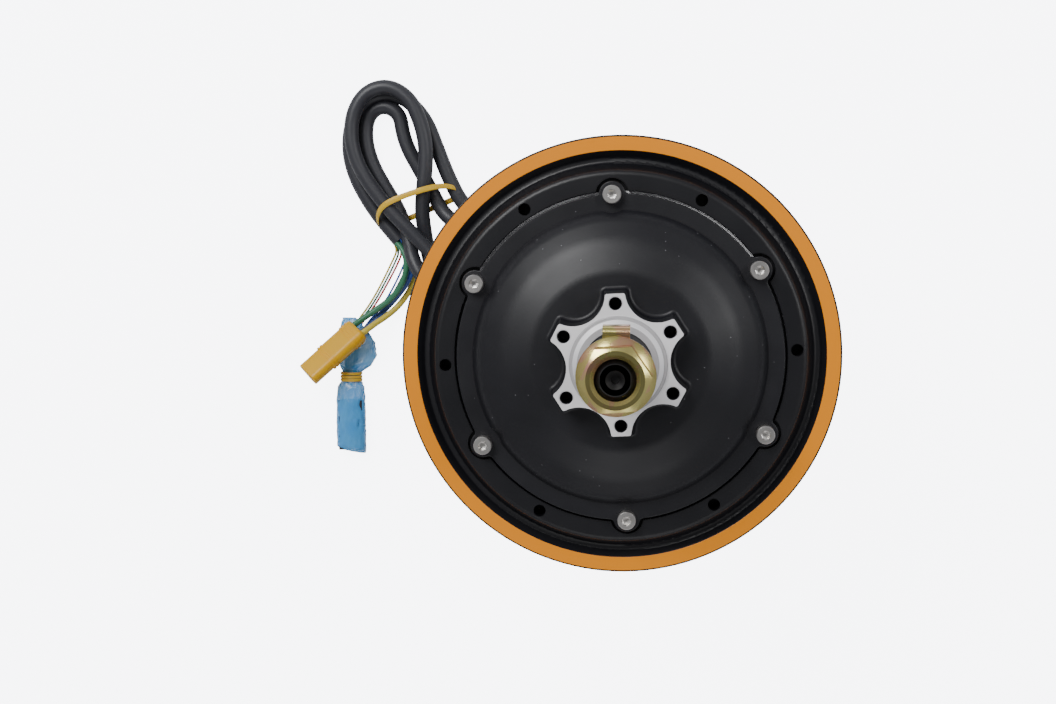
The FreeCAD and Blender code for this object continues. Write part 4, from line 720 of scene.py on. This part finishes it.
# --- Plugs: a yellow three-pin power plug, moulded in nylon round gilt sockets, and a small
# dark six-way sensor plug. The wires are crimped in before the cap snaps on.
plug_finish = grained("yellow_nylon", (0.86, 0.46, 0.0), (0.78, 0.40, 0.0), 420,
                      0.30, 0.45, 0.0, 0.15, 3e-5, Subsurface_Weight=0.04)[0]
gilt_finish = grained("gilt", (0.80, 0.58, 0.24), (0.62, 0.42, 0.16), 500, 0.15, 0.35, 1.0)[0]
dark_finish = grained("dark_nylon", (0.020, 0.021, 0.026), (0.034, 0.035, 0.040), 400,
                      0.35, 0.5)[0]
plug_cap = smooth_piece("plug_cap", "power_plug_cap", plug_finish, 16)
plug_body = smooth_piece("plug_housing", "power_plug_body", plug_finish, 16)
plug_pins = smooth_piece("plug_sockets", "power_plug_sockets", gilt_finish)
sensor_plug = smooth_piece("signal_plug", "sensor_plug", dark_finish)

# --- Wires: three silicone-covered phase wires and five thin sensor wires, stripped from the
# cable's sheath and left loose between it and the plugs.
WIRE_COLOURS = {"yellow": ((0.72, 0.58, 0.08), (0.62, 0.48, 0.05)),
                "green": ((0.045, 0.22, 0.11), (0.03, 0.16, 0.08)),
                "blue": ((0.05, 0.13, 0.50), (0.03, 0.09, 0.38)),
                "red": ((0.60, 0.05, 0.04), (0.46, 0.03, 0.03)),
                "black": ((0.03, 0.03, 0.035), (0.02, 0.02, 0.02))}
wire_finish = {hue: grained("wire_skin_" + hue, main, patch, 500, 0.35, 0.5)[0]
               for hue, (main, patch) in WIRE_COLOURS.items()}
PHASE_D, SIGNAL_D = 0.0029, 0.001
PHASE_WIRES = {
    "green": (0.0553, [
        (-109.3, 40.8, 5.1), (-104.7, 36.6, 7.8), (-103.0, 29.6, 8.6), (-105.2, 20.8, 8.0),
        (-110.9, 13.6, 6.6), (-117.6, 8.8, 5.6), (-123.6, 4.8, 6.0), (-129.7, 0.4, 8.6)]),
    "blue": (0.0596, [
        (-107.0, 42.9, 5.0), (-101.5, 36.8, 6.2), (-100.3, 28.9, 6.0), (-103.8, 20.8, 4.8),
        (-109.6, 13.6, 2.9), (-115.2, 7.9, 1.7), (-120.4, 2.2, 2.4), (-126.4, -4.7, 5.4)]),
    "yellow": (0.0595, [
        (-108.2, 41.8, 2.3), (-102.6, 35.4, 3.1), (-99.8, 27.2, 2.6), (-102.2, 18.2, 1.6),
        (-108.2, 9.7, 2.9), (-114.2, 4.6, 5.6), (-119.2, 1.4, 8.3), (-124.9, -3.3, 11.8)])}
SIGNAL_WIRES = {
    "yellow": (0.0697, [
        (-110.3, 39.8, 3.6), (-108.4, 36.8, 3.0), (-111.6, 30.6, 1.7), (-117.0, 20.0, 0.7),
        (-122.8, 10.0, 0.7), (-129.0, 2.0, 0.7), (-132.8, -5.4, 0.7), (-134.4, -13.0, 0.9),
        (-134.2, -22.2, 4.2)]),
    "green": (0.0699, [
        (-110.1, 40.1, 2.6), (-107.6, 36.3, 1.9), (-110.2, 30.4, 0.9), (-115.6, 20.0, 0.7),
        (-121.4, 10.0, 0.7), (-127.6, 2.0, 0.7), (-131.4, -5.2, 0.7), (-133.1, -13.0, 0.9),
        (-132.9, -22.2, 4.2)]),
    "red": (0.0705, [
        (-109.6, 40.5, 1.7), (-106.4, 36.2, 0.8), (-108.8, 30.0, 0.7), (-114.2, 20.0, 0.7),
        (-120.0, 10.0, 0.7), (-126.2, 2.0, 0.7), (-130.0, -5.0, 0.7), (-131.8, -13.0, 0.9),
        (-131.6, -22.2, 4.2)]),
    "blue": (0.0738, [
        (-106.6, 43.3, 2.0), (-103.8, 39.6, 0.7), (-104.0, 34.4, 0.7), (-106.2, 28.8, 0.7),
        (-110.6, 19.4, 0.7), (-116.6, 9.4, 0.7), (-123.6, 1.8, 0.7), (-128.4, -5.0, 0.7),
        (-130.5, -13.0, 0.9), (-130.3, -22.2, 4.2)]),
    "black": (0.0750, [
        (-106.1, 43.7, 3.1), (-102.7, 39.8, 0.8), (-102.7, 33.6, 0.7), (-104.9, 27.4, 0.7),
        (-109.2, 19.0, 0.7), (-115.4, 8.9, 0.7), (-122.4, 1.3, 0.7), (-127.0, -5.0, 0.7),
        (-129.2, -13.0, 0.9), (-129.0, -22.2, 4.2)])}
power_pieces = [plug_cap, plug_body, plug_pins]
for family, thick, wires, ends in (("phase", PHASE_D, PHASE_WIRES, power_pieces),
                                   ("signal", SIGNAL_D, SIGNAL_WIRES, [sensor_plug])):
    for hue, (length, route) in wires.items():
        wire = cord_curve("%s_lead_%s" % (family, hue), route, thick, wire_finish[hue])
        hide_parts("%s_wire_%s" % (family, hue))

# --- Film bag: a scrap of thin blue polythene wrapped over the sensor plug to keep it clean,
# gathered at its neck under a band, with its far end closed and cut on a slant.
BAG_LENGTHS = [   # y, left, right and height in millimetres, from the top flap to the end
    (4, -136, -129, 2.0), (-2, -137.5, -123.5, 3.4), (-8, -138.4, -119.6, 4.6),
    (-14, -138.4, -118.8, 5.6), (-19, -137.2, -121.6, 6.4), (-22.5, -135.6, -126.8, 6.6),
    (-25.5, -135.8, -126.6, 6.8), (-29, -138.2, -124.8, 7.4), (-36, -138.9, -124.3, 8.1),
    (-44, -138.9, -124.2, 8.2), (-52, -138.9, -124.2, 8.2), (-59, -138.7, -124.3, 8.2),
    (-61.4, -137.6, -124.6, 7.0), (-61.45, -134.5, -127.0, 3.0)]
BAG_SIDES, BAG_STEPS, CRUMPLE = 48, 6, 0.55
BAG_LEFT, BAG_WIDE, BAG_UNDER, BAG_LOWEST = -138.9, 14.7, 0.25, 0.15
END_SLANT, SLANT_FROM, SLANT_OVER = 2.6, -57.0, 4.5     # in millimetres
PLEATS, PLEAT_DEPTH = (0.55, 0.16, 0.5), 4     # long folds down the bag
FINE_CREASES, FINE_SHARE = 1.1, 0.4
FILM_THICK = 0.06 * MM
film_finish = grained("blue_film", (0.03, 0.34, 0.92), (0.18, 0.62, 1.0), 420, 0.10, 0.24,
                      0.0, 0.6, 1.5e-4, Alpha=0.66, Coat_Weight=0.4)[0]
rows = []
for (y0, a0, b0, h0), (y1, a1, b1, h1) in zip(BAG_LENGTHS, BAG_LENGTHS[1:]):
    for step in range(BAG_STEPS):
        t = step / BAG_STEPS
        rows.append([u + (v - u) * t for u, v in ((y0, y1), (a0, a1), (b0, b1), (h0, h1))])
rows.append(list(BAG_LENGTHS[-1]))
film_loops = []
for y, left, right, tall in rows:
    loop = []
    for side in range(BAG_SIDES):
        angle = 2 * math.pi * side / BAG_SIDES
        x = (left + right) / 2 + (right - left) / 2 * math.cos(angle)
        z = BAG_UNDER + tall * (0.5 + 0.5 * math.sin(angle))
        place = Vector((x, y, z))
        dent = CRUMPLE * (1 - abs(noise.noise(place * Vector(PLEATS)) * PLEAT_DEPTH))
        dent += FINE_SHARE * CRUMPLE * noise.noise(place * FINE_CREASES)
        across_bag = (x - BAG_LEFT) / BAG_WIDE
        cut = END_SLANT * max(0.0, (SLANT_FROM - y) / SLANT_OVER) * (1 - across_bag)
        x -= abs(dent) * math.cos(angle)
        z = max(BAG_LOWEST, z - abs(dent) * math.sin(angle))
        loop.append((x * MM, (y + cut) * MM, z * MM))
    film_loops.append(loop)
work, rings = skinned(film_loops)
work.faces.new(rings[-1])
film_bag = formed("film_bag", work, film_finish)
wall = film_bag.modifiers.new("film thickness", "SOLIDIFY")
wall.thickness = FILM_THICK
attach(film_bag, "stator")
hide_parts("film_sleeve")

# --- Rubber bands: cut from thin natural-rubber tube. A flat one ties the hank, and a
# narrow one goes three times round the neck of the film bag.
BAND_WIDE, BAND_THICK = 3.0, 0.8
band_finish = grained("amber_rubber", (0.86, 0.52, 0.03), (0.74, 0.42, 0.02), 300,
                      0.35, 0.5, Subsurface_Weight=0.1)[0]
HANK_BAND = [(-117.6, 47.5, 3.4), (-117.4, 51.5, 9.5), (-114.6, 56.5, 15.0),
             (-109.5, 59.8, 15.7), (-100.0, 63.2, 15.7), (-92.0, 65.6, 15.4),
             (-86.5, 66.8, 11.0), (-80.4, 66.4, 7.6), (-78.2, 63.6, 3.8), (-80.0, 61.2, 0.8),
             (-91.0, 56.8, 0.6), (-102.0, 52.0, 0.6), (-113.6, 47.2, 0.8)]
HANK_WAY = Vector((0.42, -0.9, 0.0))      # the way that the hank runs under its band
NECK_BANDS = [(-22.6, 0.5), (-24.2, 0.8), (-25.7, 0.6)]     # y and lift of each round
NECK_X, NECK_Z, NECK_HALF_WIDE, NECK_HALF_HIGH = -131.2, 3.9, 5.1, 3.7
NECK_POINTS, NECK_BAND_WIDE = 16, 1.5


def ribbon(work, path, along, wide, thick):
    """A closed flat band through those points, its width lying along one direction."""
    rounds = []
    for index, place in enumerate(path):
        ahead = Vector(path[(index + 1) % len(path)]) - Vector(path[index - 1])
        outward = ahead.cross(along).normalized() * thick / 2
        side = along.normalized() * wide / 2
        rounds.append([work.verts.new((Vector(place) + a * side + b * outward) * MM)
                       for a, b in ((-1, -1), (1, -1), (1, 1), (-1, 1))])
    for first, second in zip(rounds, rounds[1:] + rounds[:1]):
        for corner in range(4):
            after = (corner + 1) % 4
            work.faces.new((first[corner], first[after], second[after], second[corner]))


def band_piece(name, build):
    """A rubber band as a piece, rounded by subdivision."""
    work = bmesh.new()
    build(work)
    piece = formed(name, work, band_finish)
    rounder = piece.modifiers.new("rounded", "SUBSURF")
    rounder.levels = rounder.render_levels = 2
    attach(piece, "stator")


def hank_round(work):
    """The flat band, once round the hank."""
    ribbon(work, HANK_BAND, HANK_WAY, BAND_WIDE, BAND_THICK)


def neck_rounds(work):
    """The narrow band, three times round the bag's neck."""
    for y, lift in NECK_BANDS:
        path = [(NECK_X + NECK_HALF_WIDE * math.cos(a), y,
                 NECK_Z + lift + NECK_HALF_HIGH * math.sin(a))
                for a in [2 * math.pi * k / NECK_POINTS for k in range(NECK_POINTS)]]
        ribbon(work, path, Vector((0, 1, 0)), NECK_BAND_WIDE, BAND_THICK)


band_piece("hank_band", hank_round)
band_piece("neck_band", neck_rounds)
